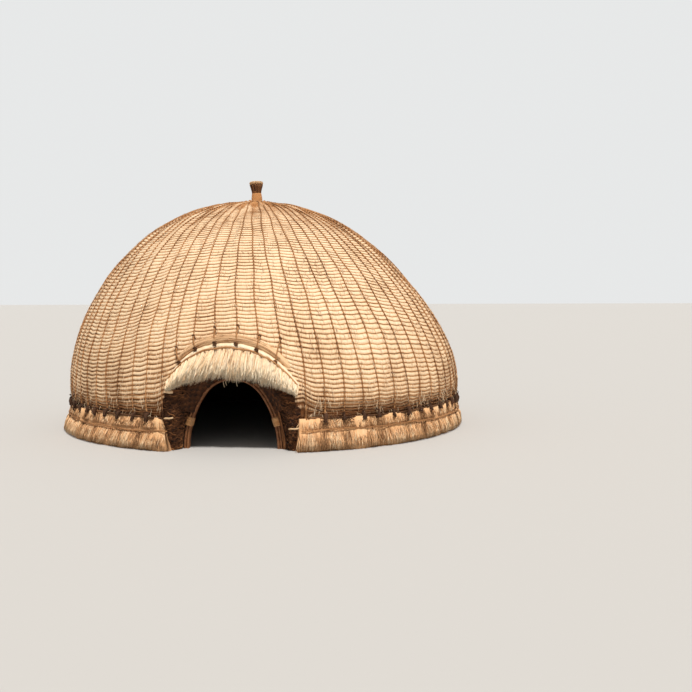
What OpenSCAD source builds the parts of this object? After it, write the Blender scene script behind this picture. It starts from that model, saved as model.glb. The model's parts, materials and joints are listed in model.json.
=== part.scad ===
// Domed grass hut: thatch on bent saplings, held down by a net of grass rope.
// Millimetres. The ground is z = 0, the door faces -Y, and left and right are
// as seen by someone who stands in front of the door.

/* [Dome] */
// Radius of the thatch where it is widest
wall_radius = 2475; // [2200:5:2900]
// Height where the thatch is widest
wide_z = 500; // [450:5:560]
// Height of the top of the thatch
crown_z = 2870; // [2600:5:3300]
// Elevation at which the curve of the wall passes into the curve of the crown
shoulder_angle = 24; // [18:1:32]
// Thickness of the thatch
thatch_t = 180; // [140:5:220]
// Height where the foot of the net meets the grass skirt
foot_z = 340; // [300:5:380]
// Elevation of the joint between the middle and the upper course
middle_angle = 46; // [40:1:54]
// Elevation of the joint between the upper course and the crown
crown_angle = 70; // [62:1:76]

/* [Doorway] */
// Clear width of the doorway on the ground
door_w = 960; // [800:10:1040]
// Clear height of the doorway
door_h = 740; // [660:10:800]
// Radius of the top curve of the door arch
door_crown_arc = 360; // [300:5:390]
// How much wider the doorway is at the face of the hut, on each side
splay = 220; // [180:5:250]
// Thickness of a jamb where it meets the face of the hut
jamb_t = 75; // [60:5:100]
// Height where the jambs end and the thatch over the door begins
jamb_top_z = 450; // [400:5:500]
// How far the jambs lap over the outer saplings of the door arch
jamb_lap = 12; // [6:1:20]

/* [Door arch] */
// Diameter of one sapling of the arch
arch_rod_d = 28; // [20:1:32]
// How much thicker a sapling is at a knuckle
knuckle = 2.4; // [1.6:0.2:4]
// Saplings side by side through the wall
arch_rods_deep = 3; // [2:1:4]
// Thickness of the wrapping round the saplings
wrap_t = 8; // [5:1:12]
// Height of the middle of the wrapping
wrap_z = 290; // [200:5:340]
// Width of the wrapping, up the arch
wrap_w = 85; // [60:5:110]

/* [Hood] */
// Radius of the top edge of the hood
hood_arc = 735; // [700:5:760]
// Height of the middle of that curve
hood_center_z = 375; // [350:5:400]
// Height of the fringe's tips over the middle of the doorway
fringe_mid_z = 725; // [700:5:760]
// Height of the fringe's tips at the ends of the hood
fringe_end_z = 590; // [560:5:620]
// Thickness of the hood at its top edge
hood_top_t = 34; // [25:1:45]
// Thickness of the hood at its tips
hood_tip_t = 125; // [90:5:150]
// Diameter of the rope that is stitched along the hood
hood_rope_d = 18; // [12:1:24]
// How far below the hood's top edge the stitched rope runs
hood_rope_drop = 45; // [30:5:60]
// Half of the angle that the stitched rope spans round the middle of the hood's curve
hood_rope_half_angle = 60; // [40:1:66]
// Diameter of the grass roll above the hood
roll_d = 80; // [60:2:90]
// How far the middle of the roll stands off the thatch
roll_out = 6; // [4:1:20]
// Half of the angle that the roll spans round the middle of the hood's curve
roll_half_angle = 38; // [30:1:50]

/* [Skirt] */
// Radius of the skirt on the ground
skirt_radius = 2556; // [2530:2:2620]
// Thickness of the skirt at its top
skirt_top_t = 30; // [20:1:40]
// Diameter of the rope round the skirt
skirt_rope_d = 20; // [14:1:26]
// Height of the rope round the skirt
skirt_rope_z = 228; // [180:4:260]

/* [Rope net] */
// Number of upright ropes
uprights = 72; // [48:4:80]
// Diameter of an upright rope
upright_d = 15; // [10:1:18]
// Diameter of a level rope
row_d = 12; // [8:1:16]
// Distance up the thatch from one main level rope to the next; one finer rope lies between
row_gap = 152; // [110:2:240]
// Diameter of the rope along the foot of the net
edge_rope_d = 20; // [16:1:26]
// Diameter of the rope of a foot loop
loop_d = 12; // [8:1:14]
// Diameter of the rings at the shoulder and round the crown
ring_d = 30; // [26:1:40]
// Radius of the ring round the crown
crown_ring_radius = 215; // [190:5:260]
// How far below that ring every second upright stops
short_upright = 260; // [150:10:500]

/* [Sapling frame] */
// Number of bent saplings round the hut
ribs = 24; // [16:4:32]
// Diameter of a bent sapling
rib_d = 34; // [24:1:44]
// Diameter of a hoop
hoop_d = 26; // [18:1:34]
// Number of hoops under the crown hoop
hoops = 7; // [5:1:9]
// Elevation of the lowest hoop, which stops at both sides of the doorway
first_hoop_angle = 1; // [-2:1:4]
// How far over the door arch the next hoop lies
hoop_over_door = 20; // [15:5:60]
// Elevation of the crown hoop
crown_hoop_angle = 78; // [74:1:82]
// Elevation where every second sapling ends
short_rib_angle = 58; // [50:1:70]
// How far the other saplings reach past the crown hoop, as an angle
rib_past_hoop = 2; // [1:0.5:4]

/* [Finial] */
// Diameter of the rope ring under the finial
finial_ring_d = 160; // [140:2:190]
// Diameter of the rope of that ring
finial_rope_d = 20; // [14:1:26]
// Diameter of the collar
collar_d = 134; // [120:2:140]
// Height of the collar
collar_h = 76; // [60:2:100]
// Diameter of the brush at its waist
brush_waist_d = 114; // [96:2:120]
// Diameter of the brush at its top
brush_top_d = 172; // [140:2:200]
// Height of the brush
brush_h = 108; // [80:2:140]
// Height of the pad on top
pad_h = 44; // [30:2:60]
// How far the finial leans to the left, as an angle round the middle of the crown's curve
finial_lean = 2; // [0:0.5:3]

/* [Pegs] */
// Diameter of a door peg
peg_d = 20; // [14:1:26]
// Length of a door peg that shows
peg_out = 85; // [60:5:100]
// Length of a door peg inside the jamb
peg_in = 60; // [40:5:70]
// Depth of the grass in front of a door peg
peg_cover = 14; // [8:1:20]
// Height of the left peg
peg_left_z = 335; // [300:5:360]
// Height of the right peg
peg_right_z = 245; // [220:5:290]

/* [Fit] */
// Gap left between round surfaces that lie on each other
fit = 0.3; // [0.2:0.1:0.6]

/* [Hidden] */
$fn = 96;
// Sides of a level row, and facets of a round rope, a pole, a whole ring, a long arc and a section
row_sides = 8;
fn_rope = 16;
fn_pole = 24;
fn_ring = 72;
fn_arc = 180;
fn_section = 360;
// Reach of a shape that cuts, and how far it goes below the ground
far = 6000;
under = 10;

// The wall's arc and the crown's arc meet with one tangent at shoulder_angle.
rise = crown_z - wide_z;
arc_det = 1 - cos(shoulder_angle) - sin(shoulder_angle);
wall_arc = (wall_radius * (1 - sin(shoulder_angle)) - rise * cos(shoulder_angle)) / arc_det;
crown_arc = (rise * (1 - cos(shoulder_angle)) - wall_radius * sin(shoulder_angle)) / arc_det;
wall_arc_x = wall_radius - wall_arc;
crown_arc_z = crown_z - crown_arc;
foot_angle = -asin((wide_z - foot_z) / wall_arc);
foot_r = wall_arc_x + wall_arc * cos(foot_angle);
inner_r = wall_radius - thatch_t;

// The clear doorway is an arch of three arcs: two long ones up the sides and
// a short one over the top, each tangent to the next.
door_half = door_w / 2;
arch_top_z = door_h - door_crown_arc;
arch_side_arc = (pow(door_half, 2) + pow(arch_top_z, 2) - pow(door_crown_arc, 2))
    / (2 * (door_half - door_crown_arc));
arch_side_x = arch_side_arc - door_half;
arch_angle = atan2(arch_top_z, arch_side_x);

// The arch stands inside the thatch, behind the flat back of the jambs.
arch_row_step = arch_rod_d + knuckle + 2 * fit;
arch_t = arch_rod_d + arch_row_step;
arch_run = arch_row_step * (arch_rods_deep - 1);
jamb_back_d = arch_t - jamb_lap;
jamb_back_y = -sqrt(pow(inner_r, 2) - pow(door_half + arch_t + wrap_t, 2));
arch_y = jamb_back_y + fit + wrap_t + fit + arch_rod_d / 2;
splay_run = wall_radius + jamb_back_y;
splay_slope = (splay - jamb_back_d) / splay_run;
door_angle = asin((door_half + splay + jamb_t) / foot_r);
wall_step = (360 - 2 * door_angle) / 7;
skirt_gap = asin((door_half + splay) / skirt_radius);
skirt_step = (360 - 2 * skirt_gap) / 4;

// The hood's top edge is a circle in a plane across the door, and its lower
// edge is a flat arc through the tips of the fringe.
fringe_rise = fringe_mid_z - fringe_end_z;
hood_end_x = sqrt(pow(hood_arc, 2) - pow(fringe_end_z - hood_center_z, 2));
fringe_arc = (pow(hood_end_x, 2) + pow(fringe_rise, 2)) / (2 * fringe_rise);
hood_top_z = hood_center_z + hood_arc;
hood_low_z = fringe_end_z - hood_top_t;
hood_rope_arc = hood_arc - hood_rope_drop;
roll_end_z = hood_center_z + hood_arc * cos(roll_half_angle);

// Rope places, as lengths along the section of the thatch from its foot up.
wall_len = wall_arc * (shoulder_angle - foot_angle) * PI / 180;
edge_off = fit + loop_d + fit + edge_rope_d / 2;
loop_r = edge_rope_d / 2 + fit + loop_d / 2;
edge_s = loop_r + loop_d / 2;
row_off = fit + row_d / 2;
upright_off = fit + row_d + fit + upright_d / 2;
ring_off = fit + ring_d / 2;
ring_end = sqrt(pow(ring_d / 2 + fit, 2) - pow(max(0, upright_off - ring_off - upright_d / 2), 2));
crown_ring_s = wall_len
    + crown_arc * (acos(crown_ring_radius / crown_arc) - shoulder_angle) * PI / 180;
upright_foot_s = edge_s + sqrt(pow(loop_r + loop_d / 2 + fit, 2)
    - pow(max(0, edge_off - upright_off - loop_d / 2), 2));
first_row_s = edge_s + loop_r + loop_d / 2 + row_d;
lower_rows = floor((wall_len - first_row_s - row_gap / 2) / row_gap) + 1;
first_upper_s = wall_len + row_gap;
upper_rows = floor((crown_ring_s - first_upper_s - row_gap / 2) / row_gap) + 1;
upright_step = 360 / uprights;
upright_search = 4;

// Each sapling is bent to one round arc under the crown, the largest that the wall and the crown let in.
bend_arc = min(inner_r, crown_arc - thatch_t) - rib_d / 2 - fit;
bend_z = crown_z - thatch_t - fit - rib_d / 2 - bend_arc;
bend_foot_angle = -asin((bend_z - rib_d / 4) / bend_arc);
over_door_angle = asin((door_h + 2 * arch_t + wrap_t - bend_z) / bend_arc);
hoop_arc = bend_arc - rib_d / 2 - fit - hoop_d / 2;
door_hoop_angle = asin((door_h + 2 * arch_t + wrap_t + hoop_over_door - bend_z) / hoop_arc);

// The rope ring of the finial lies on the round of the crown, and the collar on its top.
finial_ring_z = crown_arc_z
    + sqrt(pow(crown_arc + finial_rope_d / 2 + fit, 2) - pow(finial_ring_d / 2, 2));
collar_z = crown_z + fit;
brush_z = collar_z + collar_h + fit;
pad_z = brush_z + brush_h + fit;

// Section of the dome

// Elevation on the section's arcs at a length s along the thatch.
function section_angle(s) =
    s < wall_len ? foot_angle + s / wall_arc * 180 / PI
    : shoulder_angle + (s - wall_len) / crown_arc * 180 / PI;

// Radius and height of a point that lies off millimetres outside the thatch.
function section_point(s, off) =
    let (a = section_angle(s))
    s < wall_len ? [wall_arc_x + (wall_arc + off) * cos(a), wide_z + (wall_arc + off) * sin(a)]
    : [(crown_arc + off) * cos(a), crown_arc_z + (crown_arc + off) * sin(a)];

// Radius of the thatch's face at a height below the shoulder.
function face_r(z) = wall_arc_x + sqrt(pow(wall_arc, 2) - pow(z - wide_z, 2));

// Half of the width that the doorway, the hood or the roll takes out of the net.
function door_gap_x(z) =
    z < fringe_end_z ? hood_end_x
    : z < roll_end_z ? sqrt(pow(hood_arc, 2) - pow(z - hood_center_z, 2))
    : z < hood_top_z + roll_d ? sqrt(pow(hood_arc + roll_d, 2) - pow(z - hood_center_z, 2))
    : 0;

// Half of the doorway's width at a height beside the door, off millimetres outside its clear opening.
function arch_half_x(z, off) = sqrt(pow(arch_side_arc + off, 2) - pow(z, 2)) - arch_side_x;

// First length along an upright, turned a degrees from the door, that clears the hood.
function upright_start(a, s) =
    let (p = section_point(s, upright_off))
    (cos(a) > 0 && p[0] * abs(sin(a)) < door_gap_x(p[1]) + upright_d)
    ? upright_start(a, s + upright_search) : s;

// Everything inside the outside of the wall, off millimetres further out.
module wall_outside(off) {
    intersection() {
        translate([wall_arc_x, wide_z]) circle(wall_arc + off, $fn = fn_section);
        translate([0, foot_z]) square([far, far]);
    }
    square([foot_r + off, foot_z]);
}

module wall_inside() {
    intersection() {
        translate([wall_arc_x, wide_z]) circle(wall_arc - thatch_t, $fn = fn_section);
        translate([0, wide_z]) square([far, far]);
    }
    square([inner_r, wide_z]);
}

module below_shoulder() {
    polygon([
        [0, 0],
        [0, crown_arc_z],
        [far * cos(shoulder_angle), crown_arc_z + far * sin(shoulder_angle)],
        [far * cos(shoulder_angle), 0]
    ]);
}

module wall_section() {
    intersection() {
        difference() {
            wall_outside(0);
            wall_inside();
        }
        below_shoulder();
    }
}

module crown_section(low_angle, high_angle) {
    translate([0, crown_arc_z]) intersection() {
        difference() {
            circle(crown_arc, $fn = fn_section);
            circle(crown_arc - thatch_t, $fn = fn_section);
        }
        polygon([
            [0, 0],
            [far * cos(low_angle), far * sin(low_angle)],
            [far * cos(high_angle), far * sin(high_angle)]
        ]);
    }
}

// Turns a section through the angles from first to last, counted from the door.
module turn(first, last) {
    rotate([0, 0, first - 90]) rotate_extrude(angle = last - first, $fn = fn_arc) children();
}

// Thatch

module thatch_wall(place) {
    color("tan") turn(door_angle + place * wall_step, door_angle + (place + 1) * wall_step)
        wall_section();
}

module thatch_middle(first) {
    color("burlywood") turn(first, first + 90) crown_section(shoulder_angle, middle_angle);
}

module thatch_upper(first) {
    color("burlywood") turn(first, first + 90) crown_section(middle_angle, crown_angle);
}

module thatch_crown() {
    color("wheat") turn(0, 360) crown_section(crown_angle, 90);
}

// The thatch in front of the door arch, filled out to a flat back.
module door_blank() {
    turn(-door_angle, door_angle) wall_section();
    intersection() {
        turn(-door_angle, door_angle) intersection() {
            wall_outside(0);
            below_shoulder();
            translate([inner_r - thatch_t, 0]) square([far, far]);
        }
        translate([-far / 2, jamb_back_y - far, 0]) cube([far, far, far]);
    }
}

// One cone of the splayed doorway, round the middle of one of the arch's arcs.
module splay_cone(x, z, arc) {
    lead = 200;
    translate([x, jamb_back_y + lead, z]) rotate([90, 0, 0])
        cylinder(h = splay_run + 2 * lead, r1 = arc + jamb_back_d - splay_slope * lead,
            r2 = arc + splay + splay_slope * lead, $fn = fn_arc);
}

// Everything under the two lines where the side arcs pass into the top arc.
module under_arch_crown() {
    reach = far / 2;
    rotate([90, 0, 0]) linear_extrude(height = far) polygon([
        [0, arch_top_z],
        [reach * cos(arch_angle), arch_top_z + reach * sin(arch_angle)],
        [reach, -under],
        [-reach, -under],
        [-reach * cos(arch_angle), arch_top_z + reach * sin(arch_angle)]
    ]);
}

module door_splay() {
    intersection() {
        splay_cone(-arch_side_x, 0, arch_side_arc);
        splay_cone(arch_side_x, 0, arch_side_arc);
        under_arch_crown();
    }
    splay_cone(0, arch_top_z, door_crown_arc);
}

module thatch_over_door() {
    color("tan") difference() {
        door_blank();
        door_splay();
        translate([-far / 2, -far, -far + jamb_top_z]) cube(far);
    }
}

// Doorway

module peg_place(side) {
    z = side < 0 ? peg_left_z : peg_right_z;
    depth = peg_cover + peg_d / 2;
    face_x = arch_half_x(z, splay - splay_slope * depth);
    face_y = -sqrt(pow(foot_r, 2) - pow(face_x, 2)) + depth;
    translate([side * (face_x - peg_out), face_y, z]) rotate([0, side * 90, 0]) children();
}

module door_peg(extra) {
    cylinder(h = peg_out + peg_in, d = peg_d + 2 * extra, $fn = 32);
}

module door_jamb(side) {
    color("saddlebrown") difference() {
        door_blank();
        door_splay();
        translate([-far / 2, -far, jamb_top_z]) cube(far);
        translate([side > 0 ? -far : 0, -far, -under]) cube(far);
        peg_place(side) door_peg(fit);
    }
}

module door_pegs() {
    color("blanchedalmond") for (side = [-1, 1]) peg_place(side) door_peg(0);
}

// One curved length of the door arch's outline, off millimetres outside the clear doorway.
module arch_side(off, first, last) {
    translate([-arch_side_x, 0, 0]) rotate([90, 0, 0])
        rotate_extrude(angle = last - first, start = first, $fn = 96)
            translate([arch_side_arc + off, 0]) children();
}

// A sapling bent over the doorway, with a knuckle where its curve changes.
module arch_sapling(off) {
    half_gap = 0.5;
    side_gap = half_gap / (arch_side_arc + off) * 180 / PI;
    top_gap = half_gap / (door_crown_arc + off) * 180 / PI;
    for (side = [0, 1]) mirror([side, 0, 0]) {
        arch_side(off, 0, arch_angle - side_gap) circle(d = arch_rod_d, $fn = 24);
        translate([(door_crown_arc + off) * cos(arch_angle), 0,
            arch_top_z + (door_crown_arc + off) * sin(arch_angle)])
            sphere(d = arch_rod_d + knuckle, $fn = 24);
    }
    translate([0, 0, arch_top_z]) rotate([90, 0, 0])
        rotate_extrude(angle = 180 - 2 * arch_angle - 2 * top_gap, start = arch_angle + top_gap, $fn = 96)
            translate([door_crown_arc + off, 0]) circle(d = arch_rod_d, $fn = 24);
}

module door_arch() {
    color("peru") for (row = [0, 1], rod = [0 : arch_rods_deep - 1])
        translate([0, arch_y + rod * arch_row_step, 0])
            arch_sapling(arch_rod_d / 2 + row * arch_row_step);
}

// The outline round all the saplings of one foot of the arch, extra millimetres outside them.
module wrap_outline(extra) {
    corner_r = arch_rod_d / 2 + extra;
    for (x = [0, arch_row_step], y = [0, arch_run]) translate([x, y - arch_run])
        circle(corner_r, $fn = 24);
    translate([-corner_r, -arch_run]) square([arch_row_step + 2 * corner_r, arch_run]);
    translate([0, -arch_run - corner_r]) square([arch_row_step, arch_run + 2 * corner_r]);
}

module door_arch_wraps() {
    half = wrap_w / 2 / arch_side_arc * 180 / PI;
    middle = asin(wrap_z / arch_side_arc);
    color("tan") for (side = [0, 1]) mirror([side, 0, 0]) translate([0, arch_y, 0])
        arch_side(arch_rod_d / 2, middle - half, middle + half) difference() {
            wrap_outline(fit + wrap_t);
            wrap_outline(fit);
        }
}

// Hood

// The plane shape between the hood's top edge and the tips of the fringe.
module hood_front() {
    rotate([90, 0, 0]) linear_extrude(height = far / 2) difference() {
        translate([0, hood_center_z]) circle(hood_arc, $fn = fn_arc);
        translate([0, fringe_mid_z - fringe_arc]) circle(fringe_arc, $fn = fn_section);
    }
}

module door_hood() {
    color("antiquewhite") intersection() {
        turn(-door_angle, door_angle) difference() {
            polygon([
                [inner_r, hood_low_z],
                [wall_radius + hood_tip_t, hood_low_z],
                [face_r(hood_top_z) + hood_top_t, hood_top_z],
                [inner_r, hood_top_z]
            ]);
            wall_outside(fit);
        }
        hood_front();
    }
}

// A roll or rope along the hood's curve. Its top is at depth y, and its plane leans out below.
module hood_ring(arc, y, d, half_angle, lean) {
    translate([0, y, hood_center_z + arc]) rotate([90 - lean, 0, 0]) translate([0, -arc, 0])
        rotate_extrude(angle = 2 * half_angle, start = 90 - half_angle, $fn = 120)
            translate([arc, 0]) circle(d = d, $fn = 24);
}

// Radius of the middle of a rope that lies on the hood at a height.
function hood_rope_r(z) =
    let (
        top = face_r(hood_top_z) + hood_top_t,
        slope = (wall_radius + hood_tip_t - top) / (hood_top_z - hood_low_z)
    )
    top + slope * (hood_top_z - z) + (hood_rope_d / 2 + fit) * sqrt(1 + pow(slope, 2));

// Lean at which the stitched rope lies on the hood at its top and at both ends, found by trial.
function hood_rope_lean(lean, trials) =
    let (
        drop = hood_rope_arc * (1 - cos(hood_rope_half_angle)),
        top_z = hood_center_z + hood_rope_arc,
        end_x = hood_rope_arc * sin(hood_rope_half_angle),
        end_y = sqrt(pow(hood_rope_r(top_z - drop * cos(lean)), 2) - pow(end_x, 2))
    )
    trials == 0 ? lean : hood_rope_lean(asin((end_y - hood_rope_r(top_z)) / drop), trials - 1);

module door_hood_rope() {
    color("peru")
        hood_ring(hood_rope_arc, -hood_rope_r(hood_center_z + hood_rope_arc), hood_rope_d,
            hood_rope_half_angle, hood_rope_lean(0, 4));
}

module door_roll() {
    arc = hood_arc + roll_d / 2 + fit;
    color("sienna") difference() {
        hood_ring(arc, -face_r(hood_center_z + arc) - roll_out, roll_d, roll_half_angle, 0);
        turn(-door_angle * 2, door_angle * 2) intersection() {
            wall_outside(fit);
            translate([inner_r, 0]) square([far, far]);
        }
    }
}

// Skirt

module skirt(place) {
    color("khaki") turn(skirt_gap + place * skirt_step, skirt_gap + (place + 1) * skirt_step)
        polygon([
            [foot_r + fit, 0],
            [skirt_radius, 0],
            [foot_r + fit + skirt_top_t, foot_z - fit],
            [foot_r + fit, foot_z - fit]
        ]);
}

function skirt_face_r(z) =
    skirt_radius + (foot_r + fit + skirt_top_t - skirt_radius) * z / (foot_z - fit);

module skirt_rope() {
    lean = atan2(skirt_radius - foot_r - fit - skirt_top_t, foot_z - fit);
    out = (fit + skirt_rope_d / 2) / cos(lean);
    color("peru") rotate([0, 0, skirt_gap - 90]) translate([0, 0, skirt_rope_z])
        rotate_extrude(angle = 360 - 2 * skirt_gap, $fn = fn_arc)
            translate([skirt_face_r(skirt_rope_z) + out, 0]) circle(d = skirt_rope_d, $fn = fn_rope);
}

// Rope net

module level_rope(s, off, d, sides) {
    p = section_point(s, off);
    gap_x = door_gap_x(p[1]);
    gap = gap_x > 0 ? asin(min(1, (gap_x + d) / p[0])) : 0;
    rotate([0, 0, gap - 90]) translate([0, 0, p[1]])
        rotate_extrude(angle = 360 - 2 * gap, $fn = gap > 0 ? fn_arc : fn_ring)
            translate([p[0], 0]) circle(d = d, $fn = sides);
}

module net_rows_lower() {
    color("peru") for (i = [0 : lower_rows - 1])
        level_rope(first_row_s + i * row_gap, row_off, row_d, row_sides);
}

module net_rows_upper() {
    color("peru") for (i = [0 : upper_rows - 1])
        level_rope(first_upper_s + i * row_gap, row_off, row_d, row_sides);
}

// The ropes that the uprights are tied to: along the foot, at the shoulder and round the crown.
module net_rings() {
    color("saddlebrown") {
        level_rope(edge_s, edge_off, edge_rope_d, fn_rope);
        level_rope(wall_len, ring_off, ring_d, fn_rope);
        level_rope(crown_ring_s, ring_off, ring_d, fn_rope);
    }
}

// A rope along one arc of the section, between two elevations, a degrees from the door.
module upright(a, x, z, arc, first, last) {
    rotate([0, 0, a - 90]) translate([x, 0, z]) rotate([90, 0, 0])
        rotate_extrude(angle = last - first, start = first, $fn = fn_arc)
            translate([arc + upright_off, 0]) circle(d = upright_d, $fn = fn_rope);
}

module net_uprights_lower(first, last) {
    top = section_angle(wall_len - ring_end);
    color("peru") for (i = [first : last]) {
        a = (i + 0.5) * upright_step;
        low = section_angle(upright_start(a, upright_foot_s));
        upright(a, wall_arc_x, wide_z, wall_arc, low, top);
    }
}

// Every second upright stops short of the crown, where the ropes come close together.
module net_uprights_upper(first, last) {
    low = section_angle(wall_len + ring_end);
    color("peru") for (i = [first : last]) {
        short = i % 2 == 0 ? 0 : short_upright;
        top = section_angle(crown_ring_s - ring_end - short);
        upright((i + 0.5) * upright_step, 0, crown_arc_z, crown_arc, low, top);
    }
}

module net_foot_loops() {
    p = section_point(edge_s, edge_off);
    gap = asin((door_gap_x(p[1]) + edge_rope_d + loop_d) / p[0]);
    color("saddlebrown") for (i = [0 : uprights - 1]) {
        a = (i + 0.5) * upright_step;
        if (a > gap && a < 360 - gap) rotate([0, 0, a - 90]) translate([p[0], 0, p[1]])
            rotate([90, 0, 0]) rotate_extrude($fn = 48)
                translate([loop_r, 0]) circle(d = loop_d, $fn = fn_rope);
    }
}

// Sapling frame

module bent_sapling(a, top_angle) {
    over_door = min(a, 360 - a) < door_angle;
    low = over_door ? over_door_angle : bend_foot_angle;
    rotate([0, 0, a - 90]) translate([0, 0, bend_z]) rotate([90, 0, 0])
        rotate_extrude(angle = top_angle - low, start = low, $fn = fn_arc)
            translate([bend_arc, 0]) circle(d = rib_d, $fn = fn_pole);
}

module frame_saplings(first, last) {
    color("sienna") for (i = [first : last])
        bent_sapling((i + 0.5) * 360 / ribs, i % 2 == 0 ? crown_hoop_angle + rib_past_hoop : short_rib_angle);
}

module hoop(angle, gap) {
    rotate([0, 0, gap - 90]) translate([0, 0, bend_z + hoop_arc * sin(angle)])
        rotate_extrude(angle = 360 - 2 * gap, $fn = fn_arc)
            translate([hoop_arc * cos(angle), 0]) circle(d = hoop_d, $fn = fn_pole);
}

module frame_hoops() {
    step = (crown_hoop_angle - door_hoop_angle) / (hoops - 1);
    color("sienna") {
        hoop(first_hoop_angle, door_angle);
        for (i = [0 : hoops - 1]) hoop(door_hoop_angle + i * step, 0);
    }
}

// Finial

// Tilts the finial round the middle of the crown's curve, so that it stays seated on the thatch.
module lean_finial() {
    translate([0, 0, crown_arc_z]) rotate([0, -finial_lean, 0]) translate([0, 0, -crown_arc_z]) children();
}

module finial_ring() {
    color("saddlebrown") lean_finial() translate([0, 0, finial_ring_z]) rotate_extrude($fn = 64)
        translate([finial_ring_d / 2, 0]) circle(d = finial_rope_d, $fn = 24);
}

module finial_collar() {
    color("tan") lean_finial() translate([0, 0, collar_z]) cylinder(h = collar_h, d = collar_d, $fn = 64);
}

module finial_brush() {
    color("saddlebrown") lean_finial() translate([0, 0, brush_z])
        cylinder(h = brush_h, d1 = brush_waist_d, d2 = brush_top_d, $fn = 64);
}

module finial_pad() {
    color("wheat") lean_finial() translate([0, 0, pad_z]) rotate_extrude($fn = 64) intersection() {
        square([brush_top_d, pad_h]);
        union() {
            translate([brush_top_d / 2 - pad_h / 2, pad_h / 2]) circle(d = pad_h, $fn = 32);
            square([brush_top_d / 2 - pad_h / 2, pad_h]);
        }
    }
}

thatch_wall(0);  // thatch_wall_front_right
thatch_wall(1);  // thatch_wall_right
thatch_wall(2);  // thatch_wall_back_right
thatch_wall(3);  // thatch_wall_back
thatch_wall(4);  // thatch_wall_back_left
thatch_wall(5);  // thatch_wall_left
thatch_wall(6);  // thatch_wall_front_left
thatch_over_door();
thatch_middle(45);  // thatch_middle_right
thatch_middle(135);  // thatch_middle_back
thatch_middle(225);  // thatch_middle_left
thatch_middle(315);  // thatch_middle_front
thatch_upper(45);  // thatch_upper_right
thatch_upper(135);  // thatch_upper_back
thatch_upper(225);  // thatch_upper_left
thatch_upper(315);  // thatch_upper_front
thatch_crown();
door_jamb(-1);  // door_jamb_left
door_jamb(1);  // door_jamb_right
door_arch();
door_arch_wraps();
door_pegs();
door_roll();
door_hood();
door_hood_rope();
skirt(0);  // skirt_right
skirt(1);  // skirt_back_right
skirt(2);  // skirt_back_left
skirt(3);  // skirt_left
skirt_rope();
net_rows_lower();
net_rows_upper();
net_rings();
net_uprights_lower(0, uprights / 2 - 1);  // net_uprights_right
net_uprights_lower(uprights / 2, uprights - 1);  // net_uprights_left
net_uprights_upper(0, uprights / 2 - 1);  // net_crown_uprights_right
net_uprights_upper(uprights / 2, uprights - 1);  // net_crown_uprights_left
net_foot_loops();
frame_saplings(0, ribs / 2 - 1);  // frame_saplings_right
frame_saplings(ribs / 2, ribs - 1);  // frame_saplings_left
frame_hoops();
finial_ring();
finial_collar();
finial_brush();
finial_pad();
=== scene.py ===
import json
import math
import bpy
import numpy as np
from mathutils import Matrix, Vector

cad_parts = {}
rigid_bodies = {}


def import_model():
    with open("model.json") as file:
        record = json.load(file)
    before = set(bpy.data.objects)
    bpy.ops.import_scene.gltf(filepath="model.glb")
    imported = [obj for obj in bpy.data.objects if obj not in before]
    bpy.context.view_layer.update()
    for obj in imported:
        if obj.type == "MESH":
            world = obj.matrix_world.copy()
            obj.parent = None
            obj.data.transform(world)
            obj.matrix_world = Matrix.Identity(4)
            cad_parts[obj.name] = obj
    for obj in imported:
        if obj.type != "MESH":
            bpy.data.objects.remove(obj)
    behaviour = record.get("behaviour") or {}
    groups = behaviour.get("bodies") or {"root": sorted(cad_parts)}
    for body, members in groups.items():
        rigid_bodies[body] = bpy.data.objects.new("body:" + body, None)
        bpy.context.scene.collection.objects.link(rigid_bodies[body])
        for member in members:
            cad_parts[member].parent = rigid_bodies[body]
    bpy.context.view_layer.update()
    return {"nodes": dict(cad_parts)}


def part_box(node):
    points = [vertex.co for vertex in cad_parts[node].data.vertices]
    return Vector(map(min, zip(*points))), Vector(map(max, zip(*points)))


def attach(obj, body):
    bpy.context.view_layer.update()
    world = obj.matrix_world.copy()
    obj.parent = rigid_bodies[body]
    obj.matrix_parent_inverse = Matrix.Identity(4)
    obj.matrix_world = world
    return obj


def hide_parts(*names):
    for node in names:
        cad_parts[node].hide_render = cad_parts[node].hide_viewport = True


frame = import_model()

# %% [markdown]
# # A domed grass hut, dressed in Blender
# The hut is a frame of bent saplings, a thick coat of grass stems laid over it, and a
# net of grass rope that holds the grass down. The solids for all of that are loaded
# above, in metres, with the ground at z = 0 and the doorway facing -Y. This lesson
# builds what the eye sees of it: straw that bulges between the ropes, ropes with
# knots, a ragged skirt of grass round the foot, and the doorway with its hood.
#
# Thousands of straws and knots would be slow to add one at a time with Blender's
# operators, so the points are worked out with numpy and handed over in bulk.

crown_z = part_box("thatch_crown")[1].z
wall_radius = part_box("thatch_wall_right")[1].x
print("thatch: %.3f m high, %.3f m wide" % (crown_z, 2 * wall_radius))

# %% [markdown]
# ## The section of the dome
# Seen in section, the thatch is two arcs that share a tangent: a tight one for the
# wall and a wide one for the crown. Everything on the hut follows this section, so a
# place on it is given by `s`, the length up the thatch from the foot of the net, and
# `a`, the angle round the hut from the middle of the doorway. A formula like this is
# better than sculpting here, because ropes, straws and knots all have to lie on the
# same surface.

# %% The two arcs
wide_z = 0.5
shoulder = math.radians(24)
foot_z = 0.34
thatch_t = 0.18

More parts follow.
